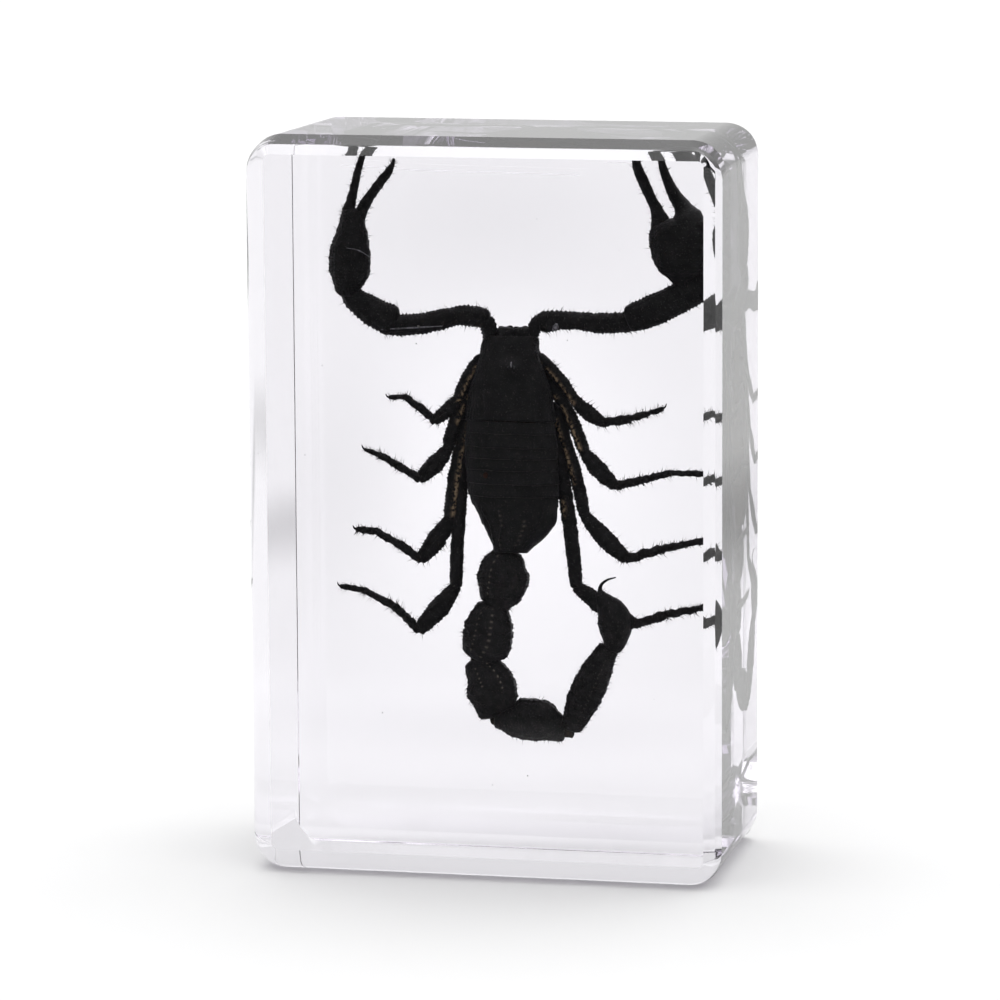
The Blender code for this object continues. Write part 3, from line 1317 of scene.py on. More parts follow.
    def build_chelicerae(self, shell_finish: Material) -> None:
        """Builds the two mouth pincers that show past the shield's front edge, each with its two teeth.

        Args:
            shell_finish: The cuticle's finish.
        """
        mouth, hairs = Shell(), Shell()
        for x in self.mouth_x:
            inset = 0.05 * np.sign(x - 1.15)
            Joint(
                ((x - inset, 52.4, 0.1, 0.8), (x, 53.4, 0.2, 0.95), (x, 54.2, 0.2, 0.98),
                 (x - inset, 54.98, 0.1, 0.94)),
                flatness=0.85, rows=40, columns=28, grain=0.12, grain_size=0.3, bristles=60,
                bristle_length=0.4, seed=int(50 + 9 * x),
            ).add_to(mouth, hairs)
            for turn, reach in ((-0.45, 0.1), (0.38, 0.22)):
                tooth = (
                    (x + turn, 54.2, 0.1, 0.4), (x + turn, 54.7, 0.05, 0.42),
                    (x + turn * 0.9, 54.85 + reach, -0.1, 0.28),
                )
                Joint(tooth, flatness=1.0, rows=16, columns=10, lumps=0.0).add_to(mouth)
        mouth.build("chelicerae", shell_finish)
        hairs.build("mouth_bristles", BRISTLE.material())

    def build_eyes(self) -> None:
        """Two middle eyes on the mound, three small ones at each front corner, and the rust stains."""
        eyes, stains = Shell(), Shell()
        places = [(0.8 + side * 0.3, 50.75, 2.35, 0.19) for side in (-1, 1)]
        for side in (-1, 1):
            places += [
                (0.95 + side * (2.25 + 0.06 * k), 53.25 - 0.4 * k, 1.05 + 0.12 * k, 0.11) for k in range(3)
            ]
        for x, z, height, radius in places:
            eye = ((x, z - radius, height, radius), (x, z, height, radius), (x, z + radius, height, radius))
            Joint(eye, 1.0, 1.0, roundness=1.0, rows=14, columns=14, **SMOOTH).add_to(eyes)
        eyes.build("eyes", LENS.material())
        for x, z, radius in self.stains:
            stain = (
                (x + 0.1, z + radius * 1.4, 2.28, radius * 0.5), (x, z, 2.36, radius),
                (x - 0.05, z - radius * 1.3, 2.32, radius * 0.6),
            )
            Joint(stain, flatness=0.3, rows=24, columns=16, lumps=0.06, grain=0.04).add_to(stains)
        stains.build("rust_stains", STAIN.material())


# ---------------------------------------------------------------- pedipalps


@dataclass
class Pedipalp:
    """One arm with its pincer: trochanter, femur, patella, hand, fixed finger and movable finger."""

    side: Side
    trochanter: Stations
    femur: Stations
    patella: Stations
    hand: Stations
    outer_finger: Stations
    inner_finger: Stations
    hand_flatness: float = 0.8

    def build(self, shell_finish: Material, bristles: Shell) -> None:
        """Builds each joint as its own piece, with its bristles.

        Args:
            shell_finish: The cuticle's finish.
            bristles: Takes the bristles.
        """
        edge = (Keel(6, 0.16, 9, 0.38, 0.9), Keel(174, 0.16, 9, 0.43, 0.9))
        ribs = edge + (Keel(70, 0.06, 8, 0.3, 0.6), Keel(112, 0.06, 8, 0.3, 0.6))
        hand_keels = tuple(Keel(angle, 0.07, 7, 0.4, 0.4) for angle in (20, 52, 90, 128, 162, 200, 340))
        jaw = (Keel(270, 0.03, 14, 0.18, 0.9),)
        arm = {"lumps": 0.09, "lump_size": 1.0, "bristle_length": 0.6}
        finger = {"rows": 120, "grain": 0.08, "lumps": 0.1, "lump_size": 0.7, "bristle_length": 0.5}
        joints = {
            "trochanter": Joint(self.trochanter, 0.85, 0.9, edge, rows=60, columns=44, bristles=24),
            "femur": Joint(self.femur, 0.72, 0.78, ribs, rows=170, columns=60, bristles=260, **arm),
            "patella": Joint(self.patella, 0.7, 0.8, ribs, rows=120, columns=64, bristles=160, **arm),
            "hand": Joint(self.hand, self.hand_flatness, 0.92, hand_keels, rows=150, columns=110, grain=0.12,
                          lumps=0.1, lump_size=1.1, bristles=220, bristle_length=0.55),
            "fixed_finger": Joint(self.outer_finger, 1.0, 1.0, jaw, bristles=110, **finger),
            "movable_finger": Joint(self.inner_finger, 1.0, 1.0, jaw, bristles=120, **finger),
        }
        first_seed = 141 if self.side is Side.RIGHT else 101
        for seed, (part, joint) in enumerate(joints.items(), start=first_seed):
            shell = Shell()
            joint.seed = seed
            joint.add_to(shell, bristles)
            shell.build(f"pedipalp_{self.side.name.lower()}_{part}", shell_finish)


LEFT_PEDIPALP = Pedipalp(
    side=Side.LEFT,
    trochanter=((-1.0, 52.8, -0.3, 0.85), (-1.35, 53.9, 0.0, 0.74), (-1.6, 55.0, 0.1, 0.8),
                (-2.0, 55.8, 0.2, 0.88)),
    femur=((-1.4, 55.6, 0.2, 0.7), (-2.1, 55.8, 0.25, 0.96), (-3.3, 55.98, 0.3, 1.02), (-5.1, 55.9, 0.3, 0.9),
           (-6.7, 55.47, 0.3, 0.98), (-8.8, 55.05, 0.3, 1.0), (-11.1, 54.85, 0.3, 1.0),
           (-12.9, 54.75, 0.2, 0.85)),
    patella=((-10.95, 55.1, 0.3, 1.2), (-11.8, 55.4, 0.35, 1.5), (-13.9, 56.4, 0.4, 1.4),
             (-15.4, 57.4, 0.4, 1.15), (-16.4, 58.6, 0.4, 0.9)),
    hand=((-16.5, 57.6, 0.4, 0.9), (-16.25, 58.8, 0.5, 1.45), (-16.0, 60.5, 0.6, 2.1),
          (-15.95, 62.0, 0.6, 2.1), (-15.8, 63.5, 0.5, 1.8), (-15.7, 65.0, 0.4, 1.4),
          (-15.6, 66.2, 0.3, 1.15), (-15.5, 66.8, 0.3, 1.0)),
    outer_finger=((-16.0, 65.2, 0.3, 0.7), (-16.0, 66.6, 0.3, 0.66), (-15.75, 67.6, 0.3, 0.5),
                  (-15.35, 69.3, 0.3, 0.42), (-14.95, 70.9, 0.3, 0.37), (-14.6, 72.0, 0.3, 0.31),
                  (-14.3, 72.9, 0.3, 0.16)),
    inner_finger=((-15.0, 65.4, 0.3, 0.62), (-14.55, 66.8, 0.3, 0.6), (-13.7, 68.1, 0.35, 0.5),
                  (-12.75, 69.4, 0.4, 0.48), (-11.95, 70.4, 0.4, 0.42), (-11.5, 71.1, 0.4, 0.28),
                  (-11.25, 71.9, 0.35, 0.12)),
)

RIGHT_PEDIPALP = Pedipalp(
    side=Side.RIGHT,
    trochanter=((2.6, 53.0, -0.3, 0.8), (2.95, 54.1, 0.0, 0.62), (3.35, 55.1, 0.1, 0.68),
                (4.1, 55.8, 0.2, 0.8)),
    femur=((3.5, 55.35, 0.2, 0.8), (4.4, 55.57, 0.2, 1.06), (5.6, 55.72, 0.3, 0.93), (7.9, 55.7, 0.3, 0.86),
           (9.6, 55.55, 0.3, 0.95), (12.3, 55.65, 0.3, 0.98), (14.0, 55.7, 0.2, 0.85)),
    patella=((12.6, 55.9, 0.3, 1.2), (13.6, 56.25, 0.35, 1.4), (15.7, 57.05, 0.4, 1.5),
             (17.6, 58.0, 0.4, 1.48), (19.4, 58.95, 0.4, 1.45), (20.5, 59.6, 0.4, 1.35),
             (21.4, 60.15, 0.4, 1.25)),
    hand=((18.9, 59.3, 0.4, 0.9), (18.7, 59.8, 0.5, 1.05), (18.55, 60.35, 0.6, 1.5), (18.5, 60.95, 0.6, 2.35),
          (18.45, 62.2, 0.6, 3.03), (18.4, 63.9, 0.5, 3.34), (18.35, 65.6, 0.4, 3.1), (18.3, 66.5, 0.3, 2.7)),
    outer_finger=((18.9, 64.9, 0.3, 2.1), (18.85, 66.5, 0.3, 1.6), (18.5, 67.4, 0.3, 0.94),
                  (17.75, 68.5, 0.3, 0.7), (16.97, 70.0, 0.3, 0.53), (16.35, 71.8, 0.3, 0.38),
                  (16.15, 72.9, 0.3, 0.2)),
    inner_finger=((16.5, 64.8, 0.3, 1.35), (16.15, 66.1, 0.3, 0.97), (15.75, 67.3, 0.3, 0.62),
                  (15.22, 68.3, 0.3, 0.53), (14.46, 69.95, 0.3, 0.56), (13.75, 71.75, 0.3, 0.47),
                  (13.65, 72.9, 0.3, 0.2)),
    hand_flatness=0.55,
)


# ---------------------------------------------------------------- walking legs


@dataclass
class WalkingLeg:
    """One leg: coxa, trochanter, femur, patella, tibia, basitarsus and telotarsus with two claws.

    The marks are the ends of the coxa, trochanter, femur, patella, tibia, basitarsus and telotarsus. The
    widths are half widths of the femur, patella, tibia, basitarsus and telotarsus. Amber is the stretch
    of the femur whose inner side is thin and shows straw yellow; one of no length leaves it dark.
    """

    side: Side
    number: int
    widths: tuple[float, float, float, float, float]
    marks: tuple[tuple[float, float], ...]
    heights: tuple[float, ...] = (-1.5, -0.95, -0.4, 0.1, 0.0, -0.15, -0.3)
    amber: tuple[float, float] = (0.02, 0.98)
    amber_width: float = 16.0

    def build(self, shell_finish: Material, bristles: Shell) -> None:
        """Builds the leg's joints as one piece, from under the head shield to the claws.

        Args:
            shell_finish: The cuticle's finish.
            bristles: Takes the bristles.
        """
        shell = Shell()
        turn = self.side.value
        points = [(x, z, height) for (x, z), height in zip(self.marks, self.heights)]
        socket = (points[0][0] - 2.2 * turn, points[0][1] + 1.1 - 0.55 * self.number, -1.9)
        seed = 200 + 10 * self.number + (5 if self.side is Side.RIGHT else 0)
        keels = (Keel(4, 0.12, 12, 0.37, 0.9), Keel(176, 0.12, 12, 0.43, 0.9))
        inner = {"amber_angle": 90.0 - 26.0 * turn}
        strip = {**inner, "amber_width": self.amber_width}
        # The same thin skin shows at the trochanter, and on the first legs just past the knee.
        socket_span = (0.25, 0.95) if self.number == 3 else (0.5, 0.8)
        knee_span = (-0.1, 0.22 if self.number == 1 else 0.0)
        femur, patella, tibia, basitarsus, telotarsus = self.widths
        coxa_line = spindle(socket, points[0], (0.7, 1.05, 0.8), lap=0.3)
        trochanter_line = spindle(points[0], points[1], (0.62, 0.74, 0.6), lap=0.25)
        femur_line = spindle(
            points[1], points[2], (femur * 0.9, femur, femur * 0.92), bow=0.15 * turn, lap=0.25
        )
        patella_line = spindle(
            points[2], points[3], (femur * 0.8, patella, patella * 0.62), 0.5, bow=-0.15 * turn, lap=0.2
        )
        tibia_line = spindle(points[3], points[4], (tibia * 1.05, tibia, tibia * 0.95), 0.4, lap=0.25)
        basitarsus_line = spindle(
            points[4], points[5], (basitarsus * 1.05, basitarsus, basitarsus * 0.9), 0.3, lap=0.22
        )
        telotarsus_line = spindle(
            points[5], points[6], (telotarsus * 0.85, telotarsus, telotarsus * 0.7), 0.6, lap=0.15
        )
        joints = (
            Joint(coxa_line, 0.75, rows=30, columns=28),
            Joint(trochanter_line, 0.85, rows=30, amber_span=socket_span, **strip),
            Joint(femur_line, 0.8, keels=keels, lumps=0.1, lump_size=0.9, rows=110, amber_span=self.amber,
                  bristles=60, bristle_length=0.55, **strip),
            Joint(patella_line, 0.62, keels=keels, lumps=0.12, lump_size=0.9, rows=90, columns=30,
                  amber_span=knee_span, bristles=80, bristle_length=0.6, **inner),
            Joint(tibia_line, 0.8, keels=keels[:1], lumps=0.16, lump_size=0.8, rows=70, columns=20,
                  bristles=52, bristle_length=0.7),
            Joint(basitarsus_line, 0.9, lumps=0.15, lump_size=0.7, rows=60, columns=18, bristles=58,
                  bristle_length=0.65),
            Joint(telotarsus_line, 1.0, lumps=0.13, lump_size=0.6, rows=50, columns=16, bristles=56,
                  bristle_length=0.5),
        )
        for step, joint in enumerate(joints):
            joint.seed = seed + step
            joint.add_to(shell, bristles)
        self.add_spurs(shell, points)
        self.add_claws(shell, np.array(points[5]), np.array(points[6]))
        shell.build(f"leg_{self.side.name.lower()}_{self.number}", shell_finish)

    def add_spurs(self, shell: Shell, points: list[Point]) -> None:
        """Adds the short spurs below the ends of the tibia and of the basitarsus.

        Args:
            shell: Takes them.
            points: The leg's marks with their heights.
        """
        for end, reach in ((4, 0.55), (5, 0.45)):
            x, z, height = points[end]
            for lean in (-0.2, 0.25):
                tip = (x + 0.5 * reach * self.side.value, z - reach, height + lean)
                spur = spindle((x, z, height), tip, (0.14, 0.1, 0.03))
                Joint(spur, 1.0, 1.0, rows=12, columns=8, **SMOOTH).add_to(shell)

    def add_claws(self, shell: Shell, start: Rows, end: Rows) -> None:
        """Adds two hooked claws past the leg's tip, one nearer the front than the other.

        Args:
            shell: Takes them.
            start: Near end of the last joint.
            end: Its far end, where the claws grow.
        """
        run = (end - start) / np.linalg.norm(end - start)
        up = np.array([0.0, 1.0, 0.0])
        for lean in (-0.16, 0.16):
            depth = np.array([0.0, 0.0, lean])
            path = (end, end + 0.3 * run + 0.12 * up + depth, end + 0.45 * run + 0.42 * up + 1.4 * depth)
            stations = tuple((*point.tolist(), width) for point, width in zip(path, (0.13, 0.09, 0.03)))
            Joint(stations, 1.0, 1.0, rows=14, columns=8, **SMOOTH).add_to(shell)


LEGS = (
    WalkingLeg(
        Side.LEFT, 1, (0.58, 0.7, 0.42, 0.36, 0.27),
        ((-2.0, 51.6), (-2.8, 51.2), (-4.7, 47.6), (-7.25, 45.15),
         (-8.95, 46.55), (-10.3, 47.5), (-11.9, 47.4)),
    ),
    WalkingLeg(
        Side.LEFT, 2, (0.64, 0.86, 0.43, 0.37, 0.26),
        ((-3.3, 48.9), (-4.25, 47.1), (-5.87, 42.25), (-8.9, 39.1),
         (-11.15, 40.38), (-13.0, 41.4), (-14.5, 41.9)),
        amber=(0.02, 0.5),
    ),
    WalkingLeg(
        Side.LEFT, 3, (0.69, 0.92, 0.44, 0.4, 0.35),
        ((-3.6, 46.2), (-4.38, 42.9), (-5.65, 35.1), (-8.85, 30.7),
         (-10.9, 32.15), (-13.6, 33.5), (-15.5, 33.6)),
    ),
    WalkingLeg(
        Side.LEFT, 4, (0.68, 0.98, 0.45, 0.38, 0.32),
        ((-3.5, 43.3), (-4.2, 41.0), (-5.1, 28.1), (-9.08, 23.35),
         (-11.5, 25.65), (-14.8, 27.3), (-17.2, 27.6)),
        amber=(0.5, 0.5),
    ),
    WalkingLeg(
        Side.RIGHT, 1, (0.6, 0.73, 0.42, 0.36, 0.27),
        ((3.5, 51.85), (4.5, 51.15), (7.2, 47.8), (10.3, 45.38),
         (12.9, 45.83), (14.7, 46.35), (16.4, 46.95)),
    ),
    WalkingLeg(
        Side.RIGHT, 2, (0.64, 0.86, 0.43, 0.37, 0.29),
        ((5.0, 49.2), (6.2, 47.3), (8.3, 42.4), (11.5, 38.95),
         (14.2, 39.55), (17.1, 40.4), (21.5, 40.4)),
    ),
    WalkingLeg(
        Side.RIGHT, 3, (0.64, 0.92, 0.45, 0.4, 0.35),
        ((5.5, 46.6), (6.4, 43.4), (8.33, 35.85), (12.68, 31.45),
         (16.0, 32.48), (18.6, 33.12), (21.7, 33.75)),
        amber=(0.02, 0.6),
    ),
    WalkingLeg(
        Side.RIGHT, 4, (0.71, 0.97, 0.45, 0.4, 0.35),
        ((5.2, 43.3), (5.86, 41.0), (7.47, 28.45), (13.5, 24.7),
         (16.7, 25.8), (19.7, 26.45), (21.9, 27.05)),
        amber=(0.25, 0.45),
    ),
)


# ---------------------------------------------------------------- the tail


@dataclass
class Tail:
    """Five tail segments and the telson, laid round in a hook."""

    segments: tuple[Stations, ...] = (
        ((0.35, 32.0, 0.0, 1.3), (0.2, 31.2, 0.0, 1.85), (-0.05, 30.2, 0.0, 2.4), (-0.2, 29.0, 0.0, 2.65),
         (-0.5, 27.8, 0.0, 2.4), (-0.95, 26.8, 0.0, 1.85), (-1.35, 26.0, 0.0, 1.4)),
        ((-1.3, 26.6, 0.0, 1.35), (-1.42, 25.5, 0.0, 1.9), (-1.65, 24.0, 0.0, 2.5), (-1.95, 22.4, 0.0, 2.6),
         (-2.55, 21.2, 0.0, 2.1), (-3.0, 20.3, 0.0, 1.5)),
        ((-3.05, 20.7, 0.0, 1.3), (-2.55, 19.7, 0.0, 1.75), (-1.8, 18.5, 0.0, 2.42), (-1.38, 17.2, 0.0, 2.6),
         (-1.15, 16.0, 0.0, 2.3), (-1.1, 15.1, 0.0, 1.85), (-0.9, 14.5, 0.0, 1.3)),
        ((-1.2, 14.6, 0.0, 1.1), (-0.3, 14.5, 0.0, 1.35), (0.8, 14.35, 0.0, 1.78), (2.2, 14.4, 0.0, 2.18),
         (3.6, 14.3, 0.0, 2.2), (4.9, 13.75, 0.0, 1.68), (5.7, 13.35, 0.0, 1.18), (6.3, 13.3, 0.0, 0.96)),
        ((7.0, 13.25, 0.0, 0.8), (7.15, 14.1, 0.0, 1.15), (7.55, 15.2, 0.0, 1.4), (8.27, 16.9, 0.0, 1.7),
         (9.0, 18.5, 0.0, 1.7), (9.77, 20.1, 0.0, 1.46), (10.42, 21.4, 0.0, 1.2), (10.95, 22.3, 0.0, 1.0)),
    )
    vesicle: Stations = (
        (11.1, 21.7, 0.0, 0.75), (11.42, 22.9, 0.0, 1.27), (11.5, 24.0, 0.0, 1.66), (11.47, 24.9, 0.0, 1.82),
        (11.05, 26.0, 0.0, 1.55), (10.4, 26.9, 0.0, 1.06), (9.98, 27.6, 0.0, 0.66), (9.85, 28.05, 0.0, 0.4),
    )
    sting: Stations = (
        (10.2, 27.3, 0.0, 0.48), (9.93, 28.05, 0.0, 0.27), (10.05, 28.65, 0.0, 0.17),
        (10.6, 29.15, 0.0, 0.13), (11.6, 29.5, 0.0, 0.06),
    )
    flatness: float = 0.66
    root: tuple[float, float, float, float] = (0.3, 32.6, 0.0, 1.3)
    hook_middle_z: float = 22.0
    skin_share: float = 0.78
    skin_reach: float = 0.6

    # For each segment: the angles of the left and the right keel on its back, and how pale each is.
    crests: tuple[tuple[float, float, float, float], ...] = (
        (68, 100, 0.45, 0.0), (68, 96, 0.26, 0.5), (80, 118, 0.4, 0.65), (74, 106, 0.0, 0.0),
        (76, 108, 0.12, 0.0),
    )
    bead_spacings: tuple[float, ...] = (0.72, 0.62, 0.5, 0.45, 0.5)

    def keels(self, number: int) -> tuple[Keel, ...]:
        """Keels of one segment: a granular pair on the back, and pairs on the flanks and below.

        Args:
            number: The segment's number, from 0.

        Returns:
            Its eight keels.
        """
        left, right, left_pale, right_pale = self.crests[number]
        spacing = self.bead_spacings[number]
        # The middle segment's two crests flatten out half-way along it.
        left_end, right_end = (0.5, 0.6) if number == 2 else (0.92, 0.92)
        back = (
            Keel(left, 0.1, 2.6, spacing, 0.85, pale=left_pale, end=left_end),
            Keel(right, 0.1, 2.6, spacing * 1.04, 0.85, pale=right_pale, end=right_end),
        )
        flank = tuple(Keel(angle, 0.12, 6.0, 0.42, 0.7) for angle in (22, 158, 338, 202))
        below = tuple(Keel(angle, 0.08, 5.0, 0.5, 0.5) for angle in (250, 290))
        return back + flank + below

    def build(self, shell_finish: Material, bristles: Shell) -> None:
        """Builds the five segments, the soft rings between them, and the telson with its sting.

        Args:
            shell_finish: The cuticle of the tail, a little greyer than the trunk's.
            bristles: Shell that takes the bristles.
        """
        for number, stations in enumerate(self.segments):
            shell = Shell()
            Joint(
                stations, self.flatness, 0.84, self.keels(number), grain=0.12, grain_size=0.36, lumps=0.14,
                lump_size=1.1, rows=150, columns=120, roundness=0.3, bristles=150, bristle_length=0.5,
                seed=301 + number,
            ).add_to(shell, bristles)
            shell.build(f"tail_segment_{number + 1}", shell_finish)
        self.build_skin()
        telson = Shell()
        vesicle_keels = tuple(Keel(angle, 0.05, 8, 0.4, 0.7) for angle in (240, 270, 300))
        Joint(self.vesicle, 0.8, 1.0, vesicle_keels, grain=0.05, rows=110, columns=84, bristles=70,
              bristle_length=0.5, seed=340).add_to(telson, bristles)
        Joint(self.sting, 1.0, 1.0, rows=40, columns=14, seed=341, **SMOOTH).add_to(telson)
        telson.build("telson", shell_finish)

    def build_skin(self) -> None:
        """Builds the soft rings that join each segment to the next, and the first to the trunk.

        A ring runs from the one's end to the other's start. Where those are close together it runs
        across instead, outwards from the middle of the hook's height.
        """
        rings = Shell()
        starts = [self.root] + [segment[-1] for segment in self.segments]
        ends = [segment[0] for segment in self.segments] + [self.vesicle[0]]
        for start, end in zip(starts, ends):
            x, z = (start[0] + end[0]) / 2, (start[1] + end[1]) / 2
            run = np.array(end[:2]) - np.array(start[:2])
            if np.linalg.norm(run) < self.skin_reach:
                run = np.array([self.hook_middle_z - z, 0.0])
            run = run / np.linalg.norm(run)
            width = min(start[3], end[3]) * self.skin_share
            steps = (-self.skin_reach, 0.0, self.skin_reach)
            ring = tuple((x + run[0] * step, z + run[1] * step, 0.0, width) for step in steps)
            Joint(ring, self.flatness, 0.9, rows=20, columns=30, seed=320).add_to(rings)
        rings.build("tail_joint_skin", MEMBRANE.material())


# ---------------------------------------------------------------- marks in the resin


@dataclass
class Inclusions:
    """Dust, scratches, air trapped against the animal, and painted highlights: glowing hair-thin lines near
    the top and a glint over the eyes.
    """

    # Painted highlight: glowing hair-thin lines near the top, in place of the bright lines that the top rims
    # show.
    highlight_line_stations: tuple[Stations, ...] = (
        ((-16.9, 71.2, -1.5, 0.035), (-8.6, 70.8, -1.5, 0.035), (-0.3, 70.7, -1.5, 0.035),
         (8.0, 70.6, -1.5, 0.03)),
        ((10.8, 71.9, -1.5, 0.03), (14.1, 72.0, -1.5, 0.03)),
    )
    hand_scratch: Stations = ((-16.3, 62.6, 2.4, 0.04), (-15.1, 62.4, 2.4, 0.05), (-13.8, 61.7, 2.4, 0.05))
    # Air along the left arm's femur; its pale glow is also a painted highlight on the femur's keel.
    arm_streak: Stations = ((-12.8, 54.35, 1.2, 0.05), (-9.5, 54.6, 1.2, 0.09), (-6.3, 54.85, 1.2, 0.04))
    # Painted highlight: a glowing thread of the air film over the middle eyes, in place of their glint.
    eye_glint: Stations = ((0.79, 51.35, 2.5, 0.05), (0.77, 51.05, 2.55, 0.09), (0.76, 50.75, 2.5, 0.05))
    elbow_bubble: Stations = ((5.1, 54.6, 1.1, 0.12), (5.4, 55.0, 1.1, 0.3), (5.5, 55.4, 1.1, 0.12))
    specks: tuple[tuple[float, float, float, float], ...] = (
        (-9.1, 53.0, 0.5, 0.06), (6.6, 53.7, 1.0, 0.06), (-20.9, 41.2, 1.0, 0.05), (2.3, 8.5, 0.5, 0.07),
        (-1.4, 7.4, 0.5, 0.05), (-8.85, 54.75, 1.3, 0.12), (12.0, 63.0, -2.0, 0.04), (-3.0, 60.5, 2.0, 0.04),
        (15.5, 17.0, 1.0, 0.05), (-13.0, 14.5, -1.0, 0.05), (3.5, 66.0, 0.0, 0.04), (-19.0, 50.5, 0.0, 0.04),
    )

    def build(self) -> None:
        """Builds the painted highlight lines, the scratches, the air and the eyes' painted glint as thin
        closed threads, and the specks as grains.
        """
        seam, air, dust = Shell(), Shell(), Shell()
        # The first shell takes the painted highlight lines, the second the air with its painted reflection,
        # the third the dust.
        for stations in self.highlight_line_stations:
            Joint(stations, 1.0, 1.0, rows=60, columns=8, **SMOOTH).add_to(seam)
        seam.build("painted_highlight_line", GLOWING_HIGHLIGHT_LINE.material())
        for stations in (self.hand_scratch, self.arm_streak, self.eye_glint):
            Joint(stations, 0.5, 1.0, rows=60, columns=10, lumps=0.03, grain=0.0).add_to(air)
        Joint(self.elbow_bubble, 0.4, rows=30, columns=20, lumps=0.06, grain=0.06).add_to(air)
        # The air's pale grey and faint glow are a painted reflection; the eye glint among them is a painted
        # highlight.
        air.build("air_and_painted_glints", AIR_FILM_PAINTED_GLOW.material())
        for seed, (x, z, height, radius) in enumerate(self.specks, start=400):
            speck = (
                (x - radius, z, height, radius * 0.8), (x, z, height, radius),
                (x + radius, z, height, radius * 0.7),
            )
            Joint(speck, 0.8, 1.0, rows=12, columns=10, lumps=0.03, grain=0.0, seed=seed).add_to(dust)
        dust.build("dust_specks", LINT.material())


# ---------------------------------------------------------------- studio


@dataclass(frozen=True)
class PaintedLightPatch:
    """A soft oval of painted light or painted shade on the paper: a little lighter or darker than the rest.

    The middle is its x and y, and the reach its half sizes across and along the line of sight.
    """

    middle: tuple[float, float]
    reach: tuple[float, float]
    code: str


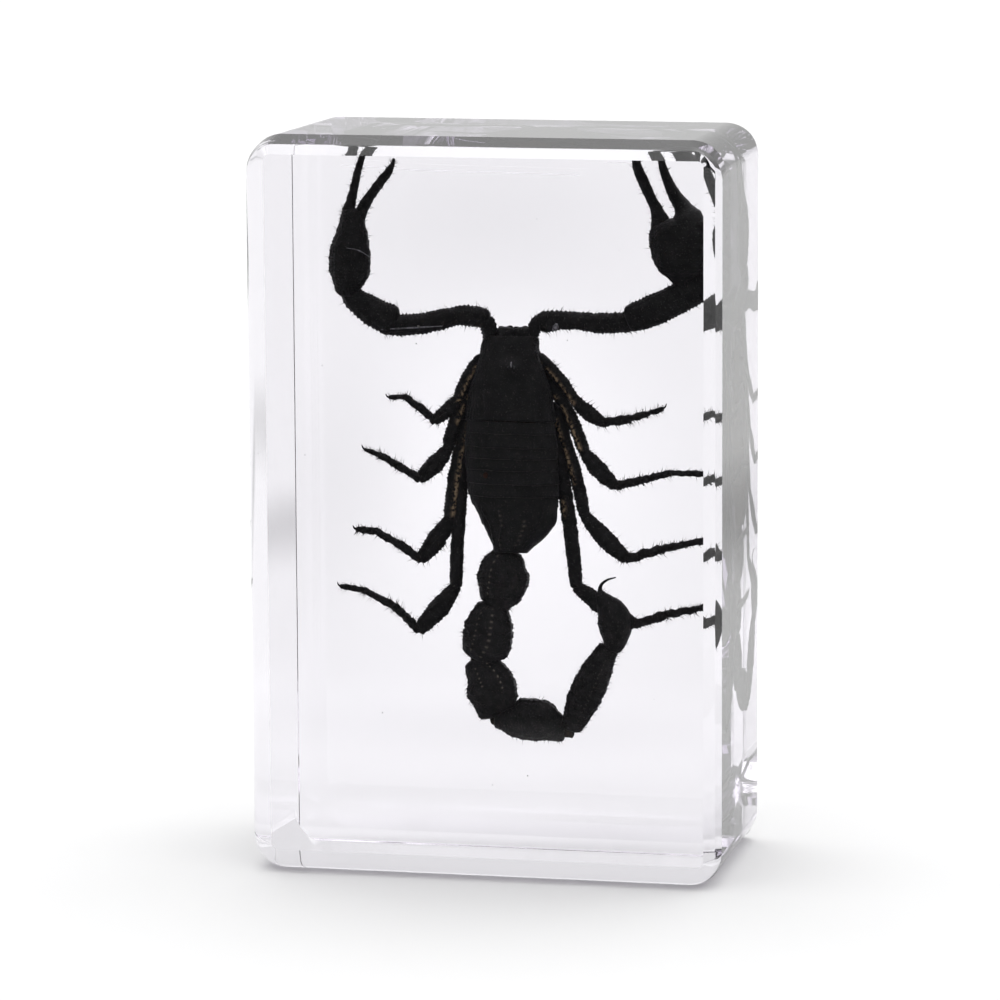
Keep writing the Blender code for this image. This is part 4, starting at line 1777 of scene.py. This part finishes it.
@dataclass
class Studio:
    """Pale floor with painted light and painted shade, soft light from behind and above, and the camera that
    the photograph was taken with.
    """

    azimuth: float = 12.43
    elevation: float = 9.38
    roll: float = -0.32
    distance: float = 554.0
    focal_length_px: float = 5426.0
    frame_px: float = 1000.0
    sensor: float = 36.0
    aim_right: float = -0.57
    aim_up: float = -0.46
    floor_gap: float = 0.05
    floor_rings: tuple[float, ...] = (60.0, 120.0, 240.0, 480.0, 960.0, 3000.0)
    floor_columns: int = 96
    white: str = "f1f1f1"
    # Painted shade: the paper turns this dark grey in front of the block, from grey_from to grey_to.
    grey: str = "3c3c3e"
    grey_from: float = -64.0
    grey_to: float = -95.0
    fibre_size: float = 0.8
    fibre_height: float = 0.01
    bounces: int = 24
    glossy_bounces: int = 12
    dim_side: tuple[float, float, float, float] = (0.05, 0.05, 0.053, 1.0)
    # Painted light and painted shade, mostly where the block hides the paper, for what is seen through the
    # block.
    painted_light_patches: tuple[PaintedLightPatch, ...] = (
        PaintedLightPatch((-53.0, 258.0), (34.0, 290.0), "fefefe"),
        PaintedLightPatch((-78.0, 240.0), (16.0, 170.0), "ececec"),
        PaintedLightPatch((-130.0, 590.0), (50.0, 190.0), "eaeaea"),
        PaintedLightPatch((-15.0, 70.0), (34.0, 26.0), "eeeeee"),
        PaintedLightPatch((-5.0, 28.0), (36.0, 15.0), "fefefe"),
        PaintedLightPatch((54.0, 240.0), (30.0, 170.0), "c8c8c8"),
    )

    def build(self) -> None:
        """Builds the camera, the floor and the sky, and lets light pass enough faces of the block."""
        self.build_camera()
        self.build_floor()
        self.build_sky()
        scene = bpy.context.scene
        scene.view_settings.view_transform = "Standard"
        scene.cycles.max_bounces = self.bounces
        scene.cycles.transmission_bounces = self.bounces
        scene.cycles.glossy_bounces = self.glossy_bounces

    def build_camera(self) -> None:
        """Places the camera on the line through the block's middle, at the fitted angles and distance."""
        azimuth, elevation, roll = (math.radians(v) for v in (self.azimuth, self.elevation, self.roll))
        level = math.cos(elevation)
        back = Vector((math.sin(azimuth) * level, -math.cos(azimuth) * level, math.sin(elevation)))
        right = Vector((0.0, 0.0, 1.0)).cross(back).normalized()
        up = back.cross(right)
        rolled_right = math.cos(roll) * right + math.sin(roll) * up
        rolled_up = -math.sin(roll) * right + math.cos(roll) * up
        middle = (cad_low + cad_high) / 2 / MM
        place = middle + self.aim_right * rolled_right + self.aim_up * rolled_up + back * self.distance
        camera = bpy.data.objects.new("camera", bpy.data.cameras.new("camera"))
        camera.data.sensor_width = self.sensor
        camera.data.lens = self.focal_length_px * self.sensor / self.frame_px
        camera.data.clip_start = 0.01
        camera.data.clip_end = 10.0
        turn = Matrix((rolled_right, rolled_up, back)).transposed()
        camera.matrix_world = Matrix.Translation(place * MM) @ turn.to_4x4()
        bpy.context.scene.collection.objects.link(camera)
        bpy.context.scene.camera = camera

    def build_floor(self) -> None:
        """A round sheet of paper: circles of points joined by quads round one flat polygon."""
        radius = np.array(self.floor_rings)[:, None]
        angle = np.linspace(0.0, 2 * np.pi, self.floor_columns + 1)[:-1]
        x, y = radius * np.cos(angle), radius * np.sin(angle)
        points = np.stack([x, y, np.full(x.shape, -self.floor_gap)], axis=-1).reshape(-1, 3)
        quads = ring_quads(*x.shape)[:, [0, 3, 2, 1]].tolist()
        new_piece("studio_floor", points, quads + [list(range(self.floor_columns))], self.paper())

    def painted_light_share(self, tree: Tree, place: Socket, patch: PaintedLightPatch) -> Socket:
        """How much of a patch there is at each point: 1 in its middle and 0 past its reach.

        Args:
            tree: Node tree that takes it.
            place: Object coordinates in millimetres.
            patch: The patch, which is turned along the camera's line of sight.

        Returns:
            The share, from 0 to 1.
        """
        placed = add_node(tree, "Mapping", {
            "Vector": place, "Location": (*patch.middle, 0.0), "Scale": (*patch.reach, 1000.0),
            "Rotation": (0.0, 0.0, math.radians(self.azimuth)),
        }, vector_type="TEXTURE")
        fall = add_node(tree, "TexGradient", {"Vector": placed.outputs[0]}, gradient_type="SPHERICAL")
        return add_node(tree, "MapRange", {0: fall.outputs[1]}, interpolation_type="SMOOTHSTEP").outputs[0]

    def paper(self) -> Material:
        """Matt white paper with ovals of painted light and painted shade on it, and dark grey painted shade
        in front of the block.

        The block's front face mirrors the paper in front of it, so that is painted as dark as a room's shade.
        The fibres' relief only takes the shine off the white.

        Returns:
            The material.
        """
        material, tree, place = blank_material("matt_white_paper")
        y = add_node(tree, "SeparateXYZ", {0: place}).outputs["Y"]
        fade = add_node(
            tree, "MapRange", {0: y, "From Min": self.grey_from, "From Max": self.grey_to},
            interpolation_type="SMOOTHSTEP",
        )
        layers = [(self.painted_light_share(tree, place, patch), patch.code) for patch in self.painted_light_patches]
        colour = linear(self.white)
        for share, code in layers + [(fade.outputs[0], self.grey)]:
            shades = {0: share, 6: colour, 7: linear(code)}
            colour = add_node(tree, "Mix", shades, data_type="RGBA").outputs[2]
        fibre = add_node(tree, "TexNoise", {"Vector": place, "Scale": 1 / self.fibre_size, "Detail": 3.0})
        relief = add_node(
            tree, "Bump", {"Height": fibre.outputs[0], "Distance": self.fibre_height * MM, "Strength": 0.2}
        )
        shader = add_node(tree, "BsdfPrincipled", {
            "Base Color": colour, "Roughness": 1.0, "IOR": 1.0, "Normal": relief.outputs[0],
        })
        add_node(tree, "OutputMaterial", {"Surface": shader.outputs[0]})
        return material

    def build_sky(self) -> None:
        """Soft light all round: white behind and above the block, brightest overhead, and dim on the
        camera's side, by smooth steps of the direction's y and z."""
        world = bpy.data.worlds.new("studio_light")
        bpy.context.scene.world = world
        world.use_nodes = True
        tree = world.node_tree
        tree.nodes.clear()
        parts = add_node(tree, "SeparateXYZ", {0: add_node(tree, "TexCoord").outputs["Generated"]}).outputs
        behind, above, strength = (
            add_node(
                tree, "MapRange",
                {0: parts[axis], "From Min": low, "From Max": high, "To Min": least, "To Max": most},
                interpolation_type="SMOOTHSTEP",
            ).outputs[0]
            for axis, low, high, least, most in (
                ("Y", 0.0, 0.45, 0.0, 1.0), ("Z", 0.35, 0.85, 0.0, 1.0), ("Z", 0.42, 0.95, 0.9, 2.0),
            )
        )
        light = add_node(tree, "Math", {0: behind, 1: above}, operation="MAXIMUM").outputs[0]
        shades = {0: light, 6: self.dim_side, 7: linear("ffffff")}
        colour = add_node(tree, "Mix", shades, data_type="RGBA").outputs[2]
        glow = add_node(tree, "Background", {"Color": colour, "Strength": strength})
        add_node(tree, "OutputWorld", {"Surface": glow.outputs[0]})


def main() -> None:
    """Builds the studio, the block and the animal, in that order."""
    logging.basicConfig(level=logging.INFO, format="%(name)s %(message)s")
    Studio().build()
    ResinBlock().build()
    shell_finish = DriedCuticle().material()
    bristles = Shell()
    Trunk().build(shell_finish)
    for arm in (LEFT_PEDIPALP, RIGHT_PEDIPALP):
        arm.build(shell_finish, bristles)
    for leg in LEGS:
        leg.build(shell_finish, bristles)
    Tail().build(DriedCuticle(name="dried_tail_cuticle", dark="181818", worn="2b2a29").material(), bristles)
    bristles.build("limb_bristles", BRISTLE.material())
    Inclusions().build()


if __name__ == "__main__":
    main()
